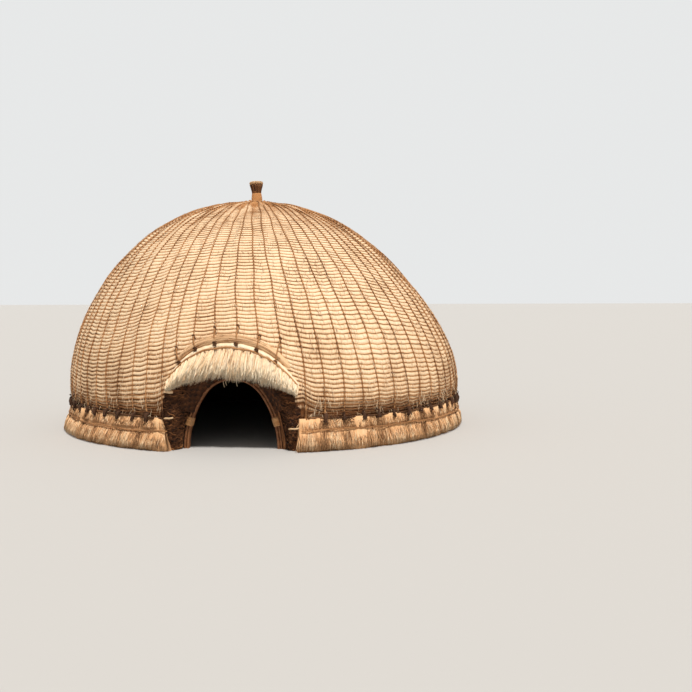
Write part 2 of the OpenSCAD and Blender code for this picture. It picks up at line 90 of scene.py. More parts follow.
rise = crown_z - wide_z
det = 1 - math.cos(shoulder) - math.sin(shoulder)
wall_arc = (wall_radius * (1 - math.sin(shoulder)) - rise * math.cos(shoulder)) / det
crown_arc = (rise * (1 - math.cos(shoulder)) - wall_radius * math.sin(shoulder)) / det
wall_x = wall_radius - wall_arc
crown_mid_z = crown_z - crown_arc
foot_turn = -math.asin((wide_z - foot_z) / wall_arc)
foot_r = wall_x + wall_arc * math.cos(foot_turn)
inner_r = wall_radius - thatch_t
wall_len = wall_arc * (shoulder - foot_turn)
top_len = wall_len + crown_arc * (math.pi / 2 - shoulder)
print("wall arc %.3f m, crown arc %.3f m, %.2f m from foot to top" % (wall_arc, crown_arc, top_len))


# %% A place on the thatch
def section(s, off=0.0):
    """Radius and height at a length s up the thatch, off metres outside it."""
    on_wall = s < wall_len
    turn = np.where(on_wall, foot_turn + s / wall_arc, shoulder + (s - wall_len) / crown_arc)
    arc = np.where(on_wall, wall_arc, crown_arc) + off
    r = np.where(on_wall, wall_x, 0.0) + arc * np.cos(turn)
    z = np.where(on_wall, wide_z, crown_mid_z) + arc * np.sin(turn)
    return r, z


def face_r(z):
    """Radius of the thatch's face at a height."""
    shoulder_z = wide_z + wall_arc * math.sin(shoulder)
    low = wall_x + np.sqrt(np.maximum(wall_arc ** 2 - (z - wide_z) ** 2, 0))
    high = np.sqrt(np.maximum(crown_arc ** 2 - (z - crown_mid_z) ** 2, 0))
    return np.where(z < shoulder_z, low, high)


def place(a, r, z):
    """Points at an angle a round the hut, counted from the doorway towards the right."""
    return np.stack([r * np.sin(a), -r * np.cos(a), z + 0 * r], axis=-1)


print("the thatch is %.2f m in radius at 1 m and %.2f m at 2 m" % (face_r(1.0), face_r(2.0)))


# %% [markdown]
# ## A hut made by hand is never quite round
# Against the sky the real dome leans a little to the left above the shoulder, and it
# is slightly flat at mid height. The solids keep the true figure, and this small bend
# of a few centimetres is laid over every piece that is seen from outside, so that
# straw, ropes and knots move together and still lie on each other.

# %% The lean and the bulge of the real dome
lean_curve = (0.035, 0.293, -1.106, 0.688)
flat_middle = 0.044
full_quarter = 0.041
foot_tuck = 0.012
foot_tuck_reach = 0.1
least_r = 0.8


def as_built(points):
    """Moves points by the lean and the bulge of the real hut."""
    p = np.array(points, dtype=float)
    t = np.clip(p[..., 2] / crown_z, 0, 1.02)
    lean = lean_curve[0] + lean_curve[1] * t + lean_curve[2] * t ** 2 + lean_curve[3] * t ** 3
    grow = -flat_middle * np.sin(math.pi * t) + full_quarter * np.sin(2 * math.pi * t)
    grow -= foot_tuck * np.exp(-((p[..., 2] - foot_z) / foot_tuck_reach) ** 2)
    r = np.maximum(np.hypot(p[..., 0], p[..., 1]), 1e-6)
    scale = 1 + grow / np.maximum(r, least_r)
    p[..., 0] = p[..., 0] * scale + lean
    p[..., 1] = p[..., 1] * scale
    return p


print("lean from %.0f mm at the foot to %.0f mm at the top"
      % tuple(1000 * (as_built([[0, -1, z]])[0][0]) for z in (0, crown_z)))

# %% [markdown]
# ## Seeded chance
# Straw is irregular, but a lesson has to give the same hut each time it runs. All the
# chance here comes from one generator with a fixed seed, and from smooth waves: sums
# of a few sines that run round and up the hut and never repeat in view.

# %% Chance and smooth waves
rng = np.random.default_rng(1731)


def waves(seed, count, cycles_round, cycles_up):
    """A smooth uneven height for any place (a, s), between about -1 and 1."""
    pick = np.random.default_rng(seed)
    around = pick.integers(1, cycles_round + 1, count)
    up = pick.uniform(-cycles_up, cycles_up, count)
    phase = pick.uniform(0, 2 * math.pi, count)

    def height(a, s):
        total = 0.0
        for k, v, f in zip(around, up, phase):
            total = total + np.sin(k * a + v * s + f)
        return total / math.sqrt(count)
    return height


lumps = waves(11, 9, 14, 5.0)
ripples = waves(12, 12, 60, 16.0)
print("waves at the doorway's top: %.2f %.2f" % (lumps(0.0, 0.8), ripples(0.0, 0.8)))

# %% [markdown]
# ## Where the level ropes run
# The net's level ropes are not level. They lie 4 cm apart at the foot and 5 cm at the
# top, they climb from both sides towards the front so as to pass over the hood, they
# crowd along the hood's edge, and they sag a little between the upright ropes. So the
# net gets its own coordinate: `q` is the length up the net before it was pulled out of
# true, and `net_s` turns it into a real length `s`. The upright ropes over the left
# half of the hood stand aside by up to 3 degrees, which `drift` gives. Ropes, straw and
# knots that share these functions always lie on each other.

# %% The net's own coordinate
foot_pitch = 0.0375
top_pitch = 0.050
full_pitch_q = 1.6
pitch_grow = (top_pitch - foot_pitch) / full_pitch_q
crown_ring_r = 0.215
first_row_q = 0.055
net_top = wall_len + crown_arc * (math.acos(crown_ring_r / crown_arc) - shoulder)
uprights = 72
upright_step = 2 * math.pi / uprights

rows = [first_row_q]
while rows[-1] < net_top - 2 * top_pitch:
    rows.append(rows[-1] + min(top_pitch, foot_pitch + pitch_grow * rows[-1]))
rows = np.array(rows)

hood_arc = 0.735
hood_mid_z = 0.375
climb_rise = 0.24
climb_middle = math.radians(17)
climb_left = math.radians(45)
climb_right = math.radians(52)
climb_left_edge = 5
climb_right_edge = 2.5
edge_pull = 0.05
edge_pull_right = 0.8
edge_reach = 0.10
row_uneven = 0.017
row_sag = 0.005
drift_most = math.radians(-2.6)
drift_at = math.radians(-8)
drift_wide = math.radians(11)
drift_q = 0.85
drift_high = 0.9


def ease(x):
    """Goes smoothly from 0 to 1 while x does."""
    x = np.clip(x, 0, 1)
    return x * x * (3 - 2 * x)


def from_door(a):
    """The same angle between half a turn left and half a turn right of the doorway."""
    return (a + math.pi) % (2 * math.pi) - math.pi


def drift(a, q):
    """How far the uprights left of the doorway's middle stand aside, in radians."""
    beside = (from_door(a) - drift_at) / drift_wide
    above = (q - drift_q) / drift_high
    return drift_most * np.exp(-beside ** 2 - above ** 2)


def net_s(q, a):
    """Real length up the thatch of the net's coordinate q at the angle a."""
    q = np.asarray(q, dtype=float)
    a = from_door(np.asarray(a, dtype=float))
    beside = np.abs(a - climb_middle)
    falls_left = (beside / climb_left) ** climb_left_edge
    falls_right = (beside / climb_right) ** climb_right_edge
    across = np.exp(-np.where(a < climb_middle, falls_left, falls_right))
    later = ease((a + 0.05) / 0.5)
    begins = ease((q - 0.1 * later) / (0.7 + 0.25 * later))
    climb = climb_rise * across * begins * ease((net_top - q) / 2.2)
    r, z = section(q + climb)
    beyond = np.maximum(np.hypot(r * np.sin(a), z - hood_mid_z) - hood_arc, 0)
    pull = edge_pull * (1 + edge_pull_right * ease(a / 0.3)) * np.exp(-beyond / edge_reach) * ease(q / 0.12)
    in_front = np.cos(a) > 0.5
    pull = pull * in_front
    uneven = row_uneven * lumps(a, q) * ease(q / 0.3) * ease((net_top - q) / 0.5)
    cell = np.cos(a / upright_step * 2 * math.pi)
    sag = row_sag * (cell - 0.4) * ease(q / 0.1) * ease((2.6 - q) / 1.5) * (1 + 0.5 * ripples(a, q))
    return q + climb + pull + uneven - sag


print("%d level ropes over %.2f m of thatch" % (len(rows), net_top))

# %% [markdown]
# ## From points to a mesh
# Every piece here ends as a list of points and a list of faces. `foreach_set` copies whole arrays into a
# mesh at once, which for a hut with half a million faces is the difference between seconds and minutes. Two
# things ride along with the shape: a `tone` for each point, which paints shade and light, dark in the
# valleys and pale on the bulges, together with tone that differs at random, and a `grain` for each corner,
# which is the place along and across the straw in metres. Both are made here because only the maker of the
# mesh knows which way the straw lies.

# %% Mesh in bulk
def make_piece(name, parts, material):
    """One object from a list of (points, faces, tone, grain) parts."""
    points = np.concatenate([part[0] for part in parts])
    tones = np.concatenate([part[2] for part in parts])
    starts = np.cumsum([0] + [len(part[0]) for part in parts[:-1]])
    loops = np.concatenate([(part[1] + start).reshape(-1) for part, start in zip(parts, starts)])
    sizes = np.concatenate([np.full(len(part[1]), part[1].shape[1]) for part in parts])
    grain = np.concatenate([part[3].reshape(-1, 2) for part in parts])
    mesh = bpy.data.meshes.new(name)
    mesh.vertices.add(len(points))
    mesh.loops.add(len(loops))
    mesh.polygons.add(len(sizes))
    mesh.vertices.foreach_set("co", points.astype(np.float32).reshape(-1))
    mesh.loops.foreach_set("vertex_index", loops.astype(np.int32))
    begin = np.concatenate([[0], np.cumsum(sizes)[:-1]])
    mesh.polygons.foreach_set("loop_start", begin.astype(np.int32))
    mesh.polygons.foreach_set("loop_total", sizes.astype(np.int32))
    mesh.update(calc_edges=True)
    mesh.polygons.foreach_set("use_smooth", np.full(len(sizes), True))
    layer = mesh.attributes.new("tone", "FLOAT", "POINT")
    layer.data.foreach_set("value", tones.astype(np.float32))
    mesh.uv_layers.new(name="grain").data.foreach_set("uv", grain.astype(np.float32).reshape(-1))
    piece = bpy.data.objects.new(name, mesh)
    bpy.context.scene.collection.objects.link(piece)
    mesh.materials.append(material)
    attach(piece, "root")
    print("%-24s %7d triangles" % (name, int((sizes - 2).sum())))
    return piece


print(len(frame["nodes"]), "solids are in the scene, waiting to be dressed")


# %% [markdown]
# ## Sheets and ropes
# Two figures cover nearly the whole hut. A sheet is a grid of points joined into
# four-sided faces, and closed into a band when it has to be solid. A `tubes` set
# sweeps a small ring of points along many paths at once, so that hundreds of stems
# cost one call. The ends are closed to a point, which is how a cut straw or a frayed
# rope ends anyway.

# %% Sheets
def grid_faces(rows_n, cols_n, closed):
    """Faces of a grid of points, joined round at the end of each row when closed."""
    i = np.arange(rows_n - 1)[:, None]
    j = np.arange(cols_n if closed else cols_n - 1)[None, :]
    k = (j + 1) % cols_n
    low = i * cols_n
    high = low + cols_n
    return np.stack([low + j, low + k, high + k, high + j], axis=-1).reshape(-1, 4)


def corner_grain(u, v, rows_n, cols_n, closed):
    """Grain for each corner of a grid: u across the columns, v up the rows."""
    i = np.arange(rows_n - 1)[:, None]
    j = np.arange(cols_n if closed else cols_n - 1)[None, :]
    us = np.stack([u[j], u[j + 1], u[j + 1], u[j]], axis=-1) + 0 * i[..., None]
    vs = np.stack([v[i], v[i], v[i + 1], v[i + 1]], axis=-1) + 0 * j[..., None]
    return np.stack([us, vs], axis=-1).reshape(-1, 4, 2)


def run_length(line):
    """Length from the start of a line to each of its points."""
    return np.concatenate([[0], np.cumsum(np.linalg.norm(np.diff(line, axis=0), axis=-1))])


def end_faces(faces, before):
    """A part of faces alone, on points that the part before it has already given."""
    return np.zeros((0, 3)), faces - before, np.zeros(0), np.zeros((*faces.shape, 2))


def closed_band(shell, tones, along, column, turned):
    """Parts of a band: its outline down the rows is closed, and so are its two ends."""
    count, cols = shell.shape[:2]
    size = count * cols
    outline = np.concatenate([shell[:, column], shell[:1, column]])
    faces = grid_faces(count + 1, cols, False) % size
    grain = corner_grain(along, run_length(outline), count + 1, cols, False)
    first = np.arange(count) * cols
    last = first + cols - 1
    caps = np.stack([first[::-1], last] if turned else [first, last[::-1]])
    return [(shell.reshape(-1, 3), faces, tones.reshape(-1), grain), end_faces(caps, size)]


print("a grid of 3 by 4 points has", len(grid_faces(3, 4, False)), "faces")


# %% Tubes
def unit(vectors):
    """The same directions at a length of one."""
    return vectors / np.maximum(np.linalg.norm(vectors, axis=-1, keepdims=True), 1e-9)


def tubes(paths, radius, sides, out, tone):
    """Tubes along paths (n, m, 3); radius is a number or (n, m); out is a side direction."""
    n, m = paths.shape[:2]
    along = unit(np.gradient(paths, axis=1))
    across = unit(np.cross(along, np.broadcast_to(out, paths.shape)))
    up = np.cross(across, along)
    radius = np.broadcast_to(radius, (n, m))
    turn = np.arange(sides) * 2 * math.pi / sides
    ring = np.cos(turn)[:, None] * up[:, :, None] + np.sin(turn)[:, None] * across[:, :, None]
    skin = paths[:, :, None] + radius[:, :, None, None] * ring
    body = skin.reshape(n, m * sides, 3)
    tips = np.stack([paths[:, 0], paths[:, -1]], axis=1)
    points = np.concatenate([body, tips], axis=1)
    walls = grid_faces(m, sides, True)
    size = m * sides
    side = np.arange(sides)
    after = (side + 1) % sides
    low = np.stack([after, side, np.full(sides, size)], axis=-1)
    last = size - sides
    high = np.stack([side + last, after + last, np.full(sides, size + 1)], axis=-1)
    step = np.arange(n)[:, None, None] * (size + 2)
    steps = np.linalg.norm(np.diff(paths, axis=1), axis=-1)
    length = np.concatenate([np.zeros((n, 1)), np.cumsum(steps, axis=1)], axis=1)
    length = length + rng.uniform(0, 9, (n, 1))
    u = np.arange(sides + 1) / sides
    wall_u = np.broadcast_to(np.stack([u[:-1], u[1:], u[1:], u[:-1]], axis=-1), (n, m - 1, sides, 4))
    below = np.broadcast_to(length[:, :-1, None], (n, m - 1, sides))
    above = np.broadcast_to(length[:, 1:, None], (n, m - 1, sides))
    wall_v = np.stack([below, below, above, above], axis=-1)
    wall_grain = np.stack([wall_u, wall_v], axis=-1)
    tone = np.broadcast_to(tone, (n, m))
    skin_tone = np.repeat(tone, sides, axis=1)
    tones = np.concatenate([skin_tone, tone[:, :1], tone[:, -1:]], axis=1).reshape(-1)
    ends = np.stack([low, high]).reshape(1, -1, 3) + step
    end_grain = np.zeros((n * 2 * sides, 3, 2))
    end_grain[..., 1] = np.repeat(length[:, 0], 2 * sides)[:, None]
    flat = points.reshape(-1, 3)
    return [(flat, (walls[None] + step).reshape(-1, 4), tones, wall_grain.reshape(-1, 4, 2)),
            (np.zeros((0, 3)), ends.reshape(-1, 3) - len(flat), np.zeros(0), end_grain)]


straight_up = np.array([0, 0, 1.0])
to_front = np.array([0, -1.0, 0])
to_right = np.array([1.0, 0, 0])
print("a tube of 4 sides is closed by", 2 * 4, "small triangles")

# %% [markdown]
# ## One recipe for dry grass
# Grass stems are matt and each has its own shade, from cream to brown. The recipe paints fine streaks along
# the straw, wider patches that weathering left, and painted shade from the mesh's tone, darker in every
# valley, and it raises the streaks a little as bump. It reads the `grain` of the mesh and not its place in
# the world, so the stems follow every bend. Rope, hood, skirt and thatch are the same plant, so they share
# the recipe and differ in colour, in how wide the streaks are, and in twist.

# %% The straw recipe
def node(tree, kind, **values):
    """A shader node with its settings."""
    made = tree.nodes.new(kind)
    for key, value in values.items():
        setattr(made, key, value)
    return made


def shade(red, green, blue):
    """A colour as a picture shows it, turned into the linear one that shaders use."""
    return tuple(((c / 255 + 0.055) / 1.055) ** 2.4 for c in (red, green, blue))


def colour_stops(ramp, dark, middle, pale, places):
    """Three colours on a ramp, at three places between 0 and 1."""
    stops = ramp.color_ramp.elements
    stops[0].position = places[0]
    stops[0].color = (*dark, 1)
    stops[1].position = places[2]
    stops[1].color = (*pale, 1)
    stops.new(places[1]).color = (*middle, 1)


straw_streak = (420.0, 9.0)
rope_streak = (6.0, 160.0)
tone_weight = 0.62


def straw(name, dark, middle, pale, streak=straw_streak, patch=2.2, bump=0.004, twist=0.0, valley=0.28):
    """A grass material; colours are written as they should render."""
    material = bpy.data.materials.new(name)
    material.use_nodes = True
    tree = material.node_tree
    link = tree.links.new
    shader = tree.nodes["Principled BSDF"]
    shader.inputs["Roughness"].default_value = 0.85
    shader.inputs["Specular IOR Level"].default_value = 0.25
    grain = node(tree, "ShaderNodeUVMap", uv_map="grain")
    stretch = node(tree, "ShaderNodeMapping")
    stretch.inputs["Scale"].default_value = (streak[0], streak[1], 1)
    stretch.inputs["Rotation"].default_value = (0, 0, twist)
    link(grain.outputs["UV"], stretch.inputs["Vector"])
    stems = node(tree, "ShaderNodeTexNoise")
    stems.inputs["Scale"].default_value = 1.0
    stems.inputs["Detail"].default_value = 3.0
    stems.inputs["Roughness"].default_value = 0.65
    link(stretch.outputs["Vector"], stems.inputs["Vector"])
    solid = node(tree, "ShaderNodeTexCoord")
    weather = node(tree, "ShaderNodeTexNoise")
    weather.inputs["Scale"].default_value = patch
    weather.inputs["Detail"].default_value = 4.0
    link(solid.outputs["Object"], weather.inputs["Vector"])
    tone = node(tree, "ShaderNodeAttribute", attribute_name="tone")
    lit = node(tree, "ShaderNodeMath", operation="MULTIPLY_ADD")
    lit.inputs[1].default_value = tone_weight
    link(tone.outputs["Fac"], lit.inputs[0])
    fine = node(tree, "ShaderNodeMath", operation="SUBTRACT")
    fine.inputs[1].default_value = 0.5
    link(stems.outputs["Fac"], fine.inputs[0])
    broad = node(tree, "ShaderNodeMath", operation="MULTIPLY_ADD")
    broad.inputs[1].default_value = 0.5
    link(weather.outputs["Fac"], broad.inputs[0])
    link(fine.outputs[0], broad.inputs[2])
    link(broad.outputs[0], lit.inputs[2])
    ramp = node(tree, "ShaderNodeValToRGB")
    colour_stops(ramp, dark, middle, pale, (valley, 0.58, 0.92))
    link(lit.outputs[0], ramp.inputs["Fac"])
    link(ramp.outputs["Color"], shader.inputs["Base Color"])
    raised = node(tree, "ShaderNodeBump")
    raised.inputs["Distance"].default_value = bump
    raised.inputs["Strength"].default_value = 0.9
    link(stems.outputs["Fac"], raised.inputs["Height"])
    link(raised.outputs["Normal"], shader.inputs["Normal"])
    return material


print("a middle straw colour in linear light: %.2f %.2f %.2f" % shade(240, 204, 162))

# %% One finish for each kind of grass
thatch_straw = straw("thatch_straw", shade(122, 78, 44), shade(240, 204, 162), shade(248, 228, 196),
                      streak=(150.0, 8.0))
room_straw = straw("room_straw", shade(38, 27, 20), shade(64, 46, 33), shade(92, 68, 48), patch=1.5)
row_rope = straw("row_rope", shade(108, 68, 38), shade(196, 142, 92), shade(236, 190, 140),
                 streak=rope_streak, bump=0.002, twist=0.5)
upright_rope = straw("upright_rope", shade(64, 38, 22), shade(178, 126, 80), shade(230, 182, 132),
                     streak=rope_streak, bump=0.002, twist=0.5)
# Dark, as painted shade, for the knots at the foot; the finial's ring is made of it too.
knot_rope = straw("knot_rope", shade(44, 28, 19), shade(86, 57, 38), shade(140, 100, 68),
                  streak=rope_streak, bump=0.002, twist=0.5)
skirt_straw = straw("skirt_straw", shade(104, 64, 36), shade(240, 187, 134), shade(248, 224, 186), patch=4.0,
                    valley=0.16)
hood_straw = straw("hood_straw", shade(176, 120, 74), shade(251, 218, 174), shade(252, 236, 208),
                   valley=0.16)
roll_straw = straw("roll_straw", shade(160, 108, 66), shade(242, 200, 154), shade(248, 220, 180))
jamb_brush = straw("jamb_brush", shade(34, 18, 10), shade(92, 55, 31), shade(160, 108, 66), patch=9.0)
collar_cord = straw("collar_cord", shade(146, 98, 58), shade(222, 164, 108), shade(240, 196, 146),
                    streak=(10.0, 160.0), bump=0.002, twist=0.5)
brush_stem = straw("brush_stem", shade(66, 41, 27), shade(128, 84, 52), shade(176, 126, 84))
pad_straw = straw("pad_straw", shade(160, 118, 80), shade(214, 174, 130), shade(240, 210, 170))
print(len(bpy.data.materials), "materials so far")

# %% [markdown]
# ## The coat of grass
# Between two level ropes and two uprights the grass bulges like a small cushion, and under each rope it is
# pulled in. That quilted look is the whole character of the hut, so it is in the mesh: four points up and
# five across for each cell, lifted by a sine. The bulge sags, so its fullest part lies below its middle,
# which is why the real one shows a bright band over a dark line. On top of that the tone paints shade: dark
# in the valleys under the ropes, darker low down, on the left and on the sides and back, so the straw is
# paler high up and in front. The coat is a closed shell, with the smooth inside that the room shows, and it
# is made in four quarters.

# %% The quilted surface
bulge = 0.011
valley_depth = 0.005
foot_hollow = 0.05
foot_hollow_high = 0.12
low_lumps = 0.006
left_side = 1.1
points_up = 4
points_across = 5


def coat_q():
    """The net's coordinate of each row of points, and how full the cell is there."""
    edges = np.concatenate([[0.0], rows, [net_top]])
    qs = []
    fullness = []
    for low, high in zip(edges[:-1], edges[1:]):
        t = np.arange(points_up) / points_up
        qs.append(low + t * (high - low))
        fullness.append(np.sin(math.pi * t ** 0.8) ** 0.75)
    return np.concatenate(qs + [[net_top]]), np.concatenate(fullness + [[0.0]])


def coat_tone(q, a, full, pinch, deep, own):
    """Painted shade: pale on the bulges, dark under the ropes, low down, on the left and on the sides and
    back.
    """
    # Painted shade in the valleys under the ropes, stronger where the cells are deeper.
    tone = 0.80 - 0.58 * deep * (1 - full * (0.6 + 0.4 * pinch)) + 0.1 * own
    # Painted shade of the foot, tucked in under the net's bulge.
    painted_foot_shade = 0.50 * np.exp(-(q / 0.15) ** 2)
    # Painted shade low down, deepest in the valleys and on the left, away from the sun.
    painted_low_shade = (0.34 + 0.08 * np.cos(a + 0.9)) * (1.5 - full) * np.exp(-(q / 0.68) ** 2)
    tone = tone - painted_foot_shade - painted_low_shade
    # Painted shade on the sides and back, away from the light.
    return tone - 0.16 * ease((0.75 - np.cos(a)) / 0.6)


def coat_surface(q, a, full):
    """Points and tone of the coat's outside."""
    s = net_s(q, a)
    across = (a / upright_step - 0.5) % 1.0
    pinch = np.sin(math.pi * across) ** 0.35
    own = 0.85 + 0.3 * ripples(a, s)
    # Cells are deeper on the left, and coat_tone paints their valley shade darker there too.
    deep = 1 + 0.35 * np.cos(a + left_side)
    flatter_on_top = 0.5 + 0.5 * ease((net_top - q) / 2.4)
    height = bulge * deep * full * (0.45 + 0.55 * pinch) * np.clip(own, 0.5, 1.35) * flatter_on_top
    off = height - valley_depth * (1 - 0.5 * full) + low_lumps * lumps(3 * a, 2 * s)
    off = off - foot_hollow * np.exp(-(q / foot_hollow_high) ** 2)
    r, z = section(s, off)
    points = as_built(place(a + drift(a, q), r, z))
    return points, coat_tone(q, a, full, pinch, deep, own)


print("a cell of the coat has %d faces" % (points_up * points_across))

# %% The room's own section
inside_heights = np.array([0.0, 0.25, wide_z])
inside_turns = np.linspace(0, shoulder, 5)[1:]
crown_turns = np.linspace(shoulder, math.pi / 2, 22)[1:]
inside_r = np.concatenate([[inner_r] * 3, wall_x + (wall_arc - thatch_t) * np.cos(inside_turns),
                           (crown_arc - thatch_t) * np.cos(crown_turns)])
inside_z = np.concatenate([inside_heights, wide_z + (wall_arc - thatch_t) * np.sin(inside_turns),
                           crown_mid_z + (crown_arc - thatch_t) * np.sin(crown_turns)])
inside_r = np.maximum(inside_r, 0.002)
print("room: %.2f m wide, %.2f m high" % (2 * inner_r, inside_z.max()))

# %% [markdown]
# ## Leaving the doorway open
# The doorway is a low arch of three arcs, splayed so that it is wider at the face.
# The coat drops the faces that fall inside it, and those that the jambs stand in
# front of. A boolean cut would work too, but it is slow on this many faces, and the
# rough edge is hidden behind the jambs and the hood, as it is on the real hut.

# %% The doorway's outline
door_half = 0.48
door_h = 0.74
door_crown_arc = 0.36
splay = 0.22
jamb_t = 0.075
jamb_top = 0.45
arch_top_z = door_h - door_crown_arc
arch_square = door_half ** 2 + arch_top_z ** 2 - door_crown_arc ** 2
arch_side_arc = arch_square / (2 * (door_half - door_crown_arc))
arch_side_x = arch_side_arc - door_half
arch_turn = math.atan2(arch_top_z, arch_side_x)
door_turn = math.asin((door_half + splay + jamb_t) / foot_r)


def door_outline(w, off):
    """x and z of the arch at w, from 0 at the left foot to 1 at the right, off metres outside it."""
    side_arc = arch_side_arc + off
    top_arc = door_crown_arc + off
    side_len = side_arc * arch_turn
    top_len = top_arc * (math.pi - 2 * arch_turn)
    run = w * (2 * side_len + top_len)
    left = run < side_len
    right = run > side_len + top_len
    t = np.where(left, run, np.where(right, 2 * side_len + top_len - run, 0)) / side_arc
    side = np.where(left, -1.0, 1.0)
    side_x = side * (side_arc * np.cos(t) - arch_side_x)
    side_z = side_arc * np.sin(t)
    turn = math.pi - arch_turn - (run - side_len) / top_arc
    top_x = top_arc * np.cos(turn)
    top_z = arch_top_z + top_arc * np.sin(turn)
    on_side = left | right
    return np.where(on_side, side_x, top_x), np.where(on_side, side_z, top_z)


def in_doorway(x, z, off):
    """Whether a place seen from the front lies inside the arch widened by off metres."""
    turn = np.arctan2(z, np.abs(x) + arch_side_x)
    in_side = np.hypot(np.abs(x) + arch_side_x, z) < arch_side_arc + off
    in_top = np.hypot(x, z - arch_top_z) < door_crown_arc + off
    return np.where(turn < arch_turn, in_side, in_top)


print("doorway %.2f m wide and %.2f m high, %.2f m wide at the face"
      % (2 * door_half, door_h, 2 * (door_half + splay)))

# %% The coat in four quarters
front_y = -1.2
coat_left_x = 0.725
coat_right_x = 0.665
coat_low_z = 0.62
face_cut = splay + 0.004
left_corner_cut = 0.022
left_corner_z = 0.58
room_cut = 0.115
crown_sink = 0.004
quarter_names = {"right": 45, "back": 135, "left": 225, "front": 315}
coat_nodes = {
    "right": ["thatch_wall_front_right", "thatch_wall_right", "thatch_middle_right", "thatch_upper_right"],
    "back": ["thatch_wall_back_right", "thatch_wall_back", "thatch_middle_back", "thatch_upper_back",
             "thatch_crown"],
    "left": ["thatch_wall_back_left", "thatch_wall_left", "thatch_middle_left", "thatch_upper_left"],
    "front": ["thatch_wall_front_left", "thatch_middle_front", "thatch_upper_front"],
}
coat_qs, coat_full = coat_q()
foot_heights = np.array([[0.0], [0.17]])


def cut_doorway(middle, outside):
    """Which faces stay, by their middles, and their finish: 0 straw, 1 the room's, 2 the dark brush, painted
    shade on the coat behind the hood.
    """
    facing = middle[:, 1] < front_y
    x = middle[:, 0] - np.where(outside, lean_curve[0], 0)
    z = middle[:, 2]
    left_corner = left_corner_cut * ((x < 0) & (z > left_corner_z))
    hole = in_doorway(x, z, np.where(outside, face_cut + left_corner, room_cut))
    beside = np.where(x < 0, coat_left_x, coat_right_x)
    jambs = outside & (np.abs(x) < beside) & (z < coat_low_z)
    # The coat behind the hood takes the dark brush finish as painted shade.
    behind_hood = facing & (np.hypot(x, z - hood_mid_z) < hood_arc - 0.05)
    finish = np.where(outside, np.where(behind_hood, 2, 0), 1)
    return ~(facing & (hole | jambs)), finish


def coat_quarter(first):
    """A closed shell over a quarter of the hut, without the doorway."""
    columns = uprights // 4 * points_across + 1
    a = math.radians(first) + np.arange(columns) * upright_step / points_across
    grid_a, grid_q = np.meshgrid(a, coat_qs)
    points, tone = coat_surface(grid_q, grid_a, coat_full[:, None] + 0 * grid_a)
    low = as_built(place(a, foot_r + 0 * (foot_heights + a), foot_heights + 0 * a))
    top_r = np.linspace(crown_ring_r, 0.002, 6)[1:, None] + 0 * a
    top_z = crown_mid_z + np.sqrt((crown_arc - crown_sink) ** 2 - top_r ** 2)
    cap = as_built(place(a, top_r, top_z))
    outer = np.concatenate([low, points, cap])
    inner = place(a, inside_r[:, None] + 0 * a, inside_z[:, None] + 0 * a)[::-1]
    shell = np.concatenate([outer, inner])
    low_tone, cap_tone, room_tone = [np.full(part.shape[:2], value) for part, value
                                     in ((low, 0.25), (cap, 0.45), (inner, 0.4))]
    tones = np.concatenate([low_tone, tone, cap_tone, room_tone]).reshape(-1)
    count = len(shell)
    faces = grid_faces(count, columns, False)
    grain = corner_grain(a * 2.2, run_length(shell[:, 0]), count, columns, False)
    middle = shell.reshape(-1, 3)[faces].mean(axis=1)
    outside = np.arange(count - 1).repeat(columns - 1) < len(outer) - 1
    keep, finish = cut_doorway(middle, outside)
    return shell.reshape(-1, 3), faces[keep], tones, grain[keep], finish[keep]


for name, first in quarter_names.items():
    points, faces, tones, grain, finish = coat_quarter(first)
    coat = make_piece("thatch_" + name, [(points, faces, tones, grain)], thatch_straw)
    coat.data.materials.append(room_straw)
    coat.data.materials.append(jamb_brush)
    coat.data.polygons.foreach_set("material_index", finish.astype(np.int32))
    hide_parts(*coat_nodes[name])

# %% [markdown]
# ## The rope net
# The level ropes press the grass down, and the upright ropes are hitched round each
# of them, so an upright swells into a small knot at every crossing. Modelling each
# hitch would cost millions of faces. Swelling the tube at the crossings gives the
# same beaded line at the size it is seen. Ropes stop at the hood, because on the real
# hut they are tied down to it there. The hood's top edge is nearly an arc, but the
# real one is fuller on its left, and all that lies on it has to know that too.

# %% How far round the hood reaches
fringe_end_z = 0.59
roll_d = 0.08
hood_end_x = math.sqrt(hood_arc ** 2 - (fringe_end_z - hood_mid_z) ** 2)
hood_top_z = hood_mid_z + hood_arc
hood_half_turn = math.acos((fringe_end_z - hood_mid_z) / hood_arc)
rise_all = 0.018
rise_left = 0.045
roll_half_x = 0.6


def hood_rise(turn):
    """How much higher the hood's top edge runs than a true arc, most on its left."""
    u = turn / hood_half_turn
    fuller = rise_all + rise_left * np.exp(-((u + 0.6) / 0.45) ** 2)
    return fuller * (1 - np.clip(np.abs(u), 0, 1) ** 8)


def under_hood(points, more=0.0):
    """Whether a point lies on the face behind the hood, its roll or the doorway."""
    x = points[..., 0] - lean_curve[0]
    z = points[..., 2]
    roll = np.where(np.abs(x) < roll_half_x, roll_d * 0.75, 0.0)
    rise = hood_rise(np.arcsin(np.clip(x / hood_arc, -1, 1)))
    round_top = np.hypot(x, z - hood_mid_z - rise) < hood_arc + roll + more
    below = (z < fringe_end_z) & (np.abs(x) < np.where(x < 0, coat_left_x, coat_right_x) + more)
    return (points[..., 1] < front_y) & (round_top | below)


def net_point(q, a, off):
    """A point of the net on the coat, off metres outside it."""
    s = net_s(q, a)
    r, z = section(s, off + low_lumps * lumps(3 * a, 2 * s))
    return as_built(place(a + drift(a, q), r, z))


print("hood: %.2f m wide, top at %.2f m" % (2 * hood_end_x, hood_top_z))

# %% Level ropes
row_r = 0.0048
row_wander = 0.003
row_a = np.linspace(0, 2 * math.pi, uprights * 2 + 1)
net_middle = np.array([lean_curve[0], 0, 0.35])
least_run = 4


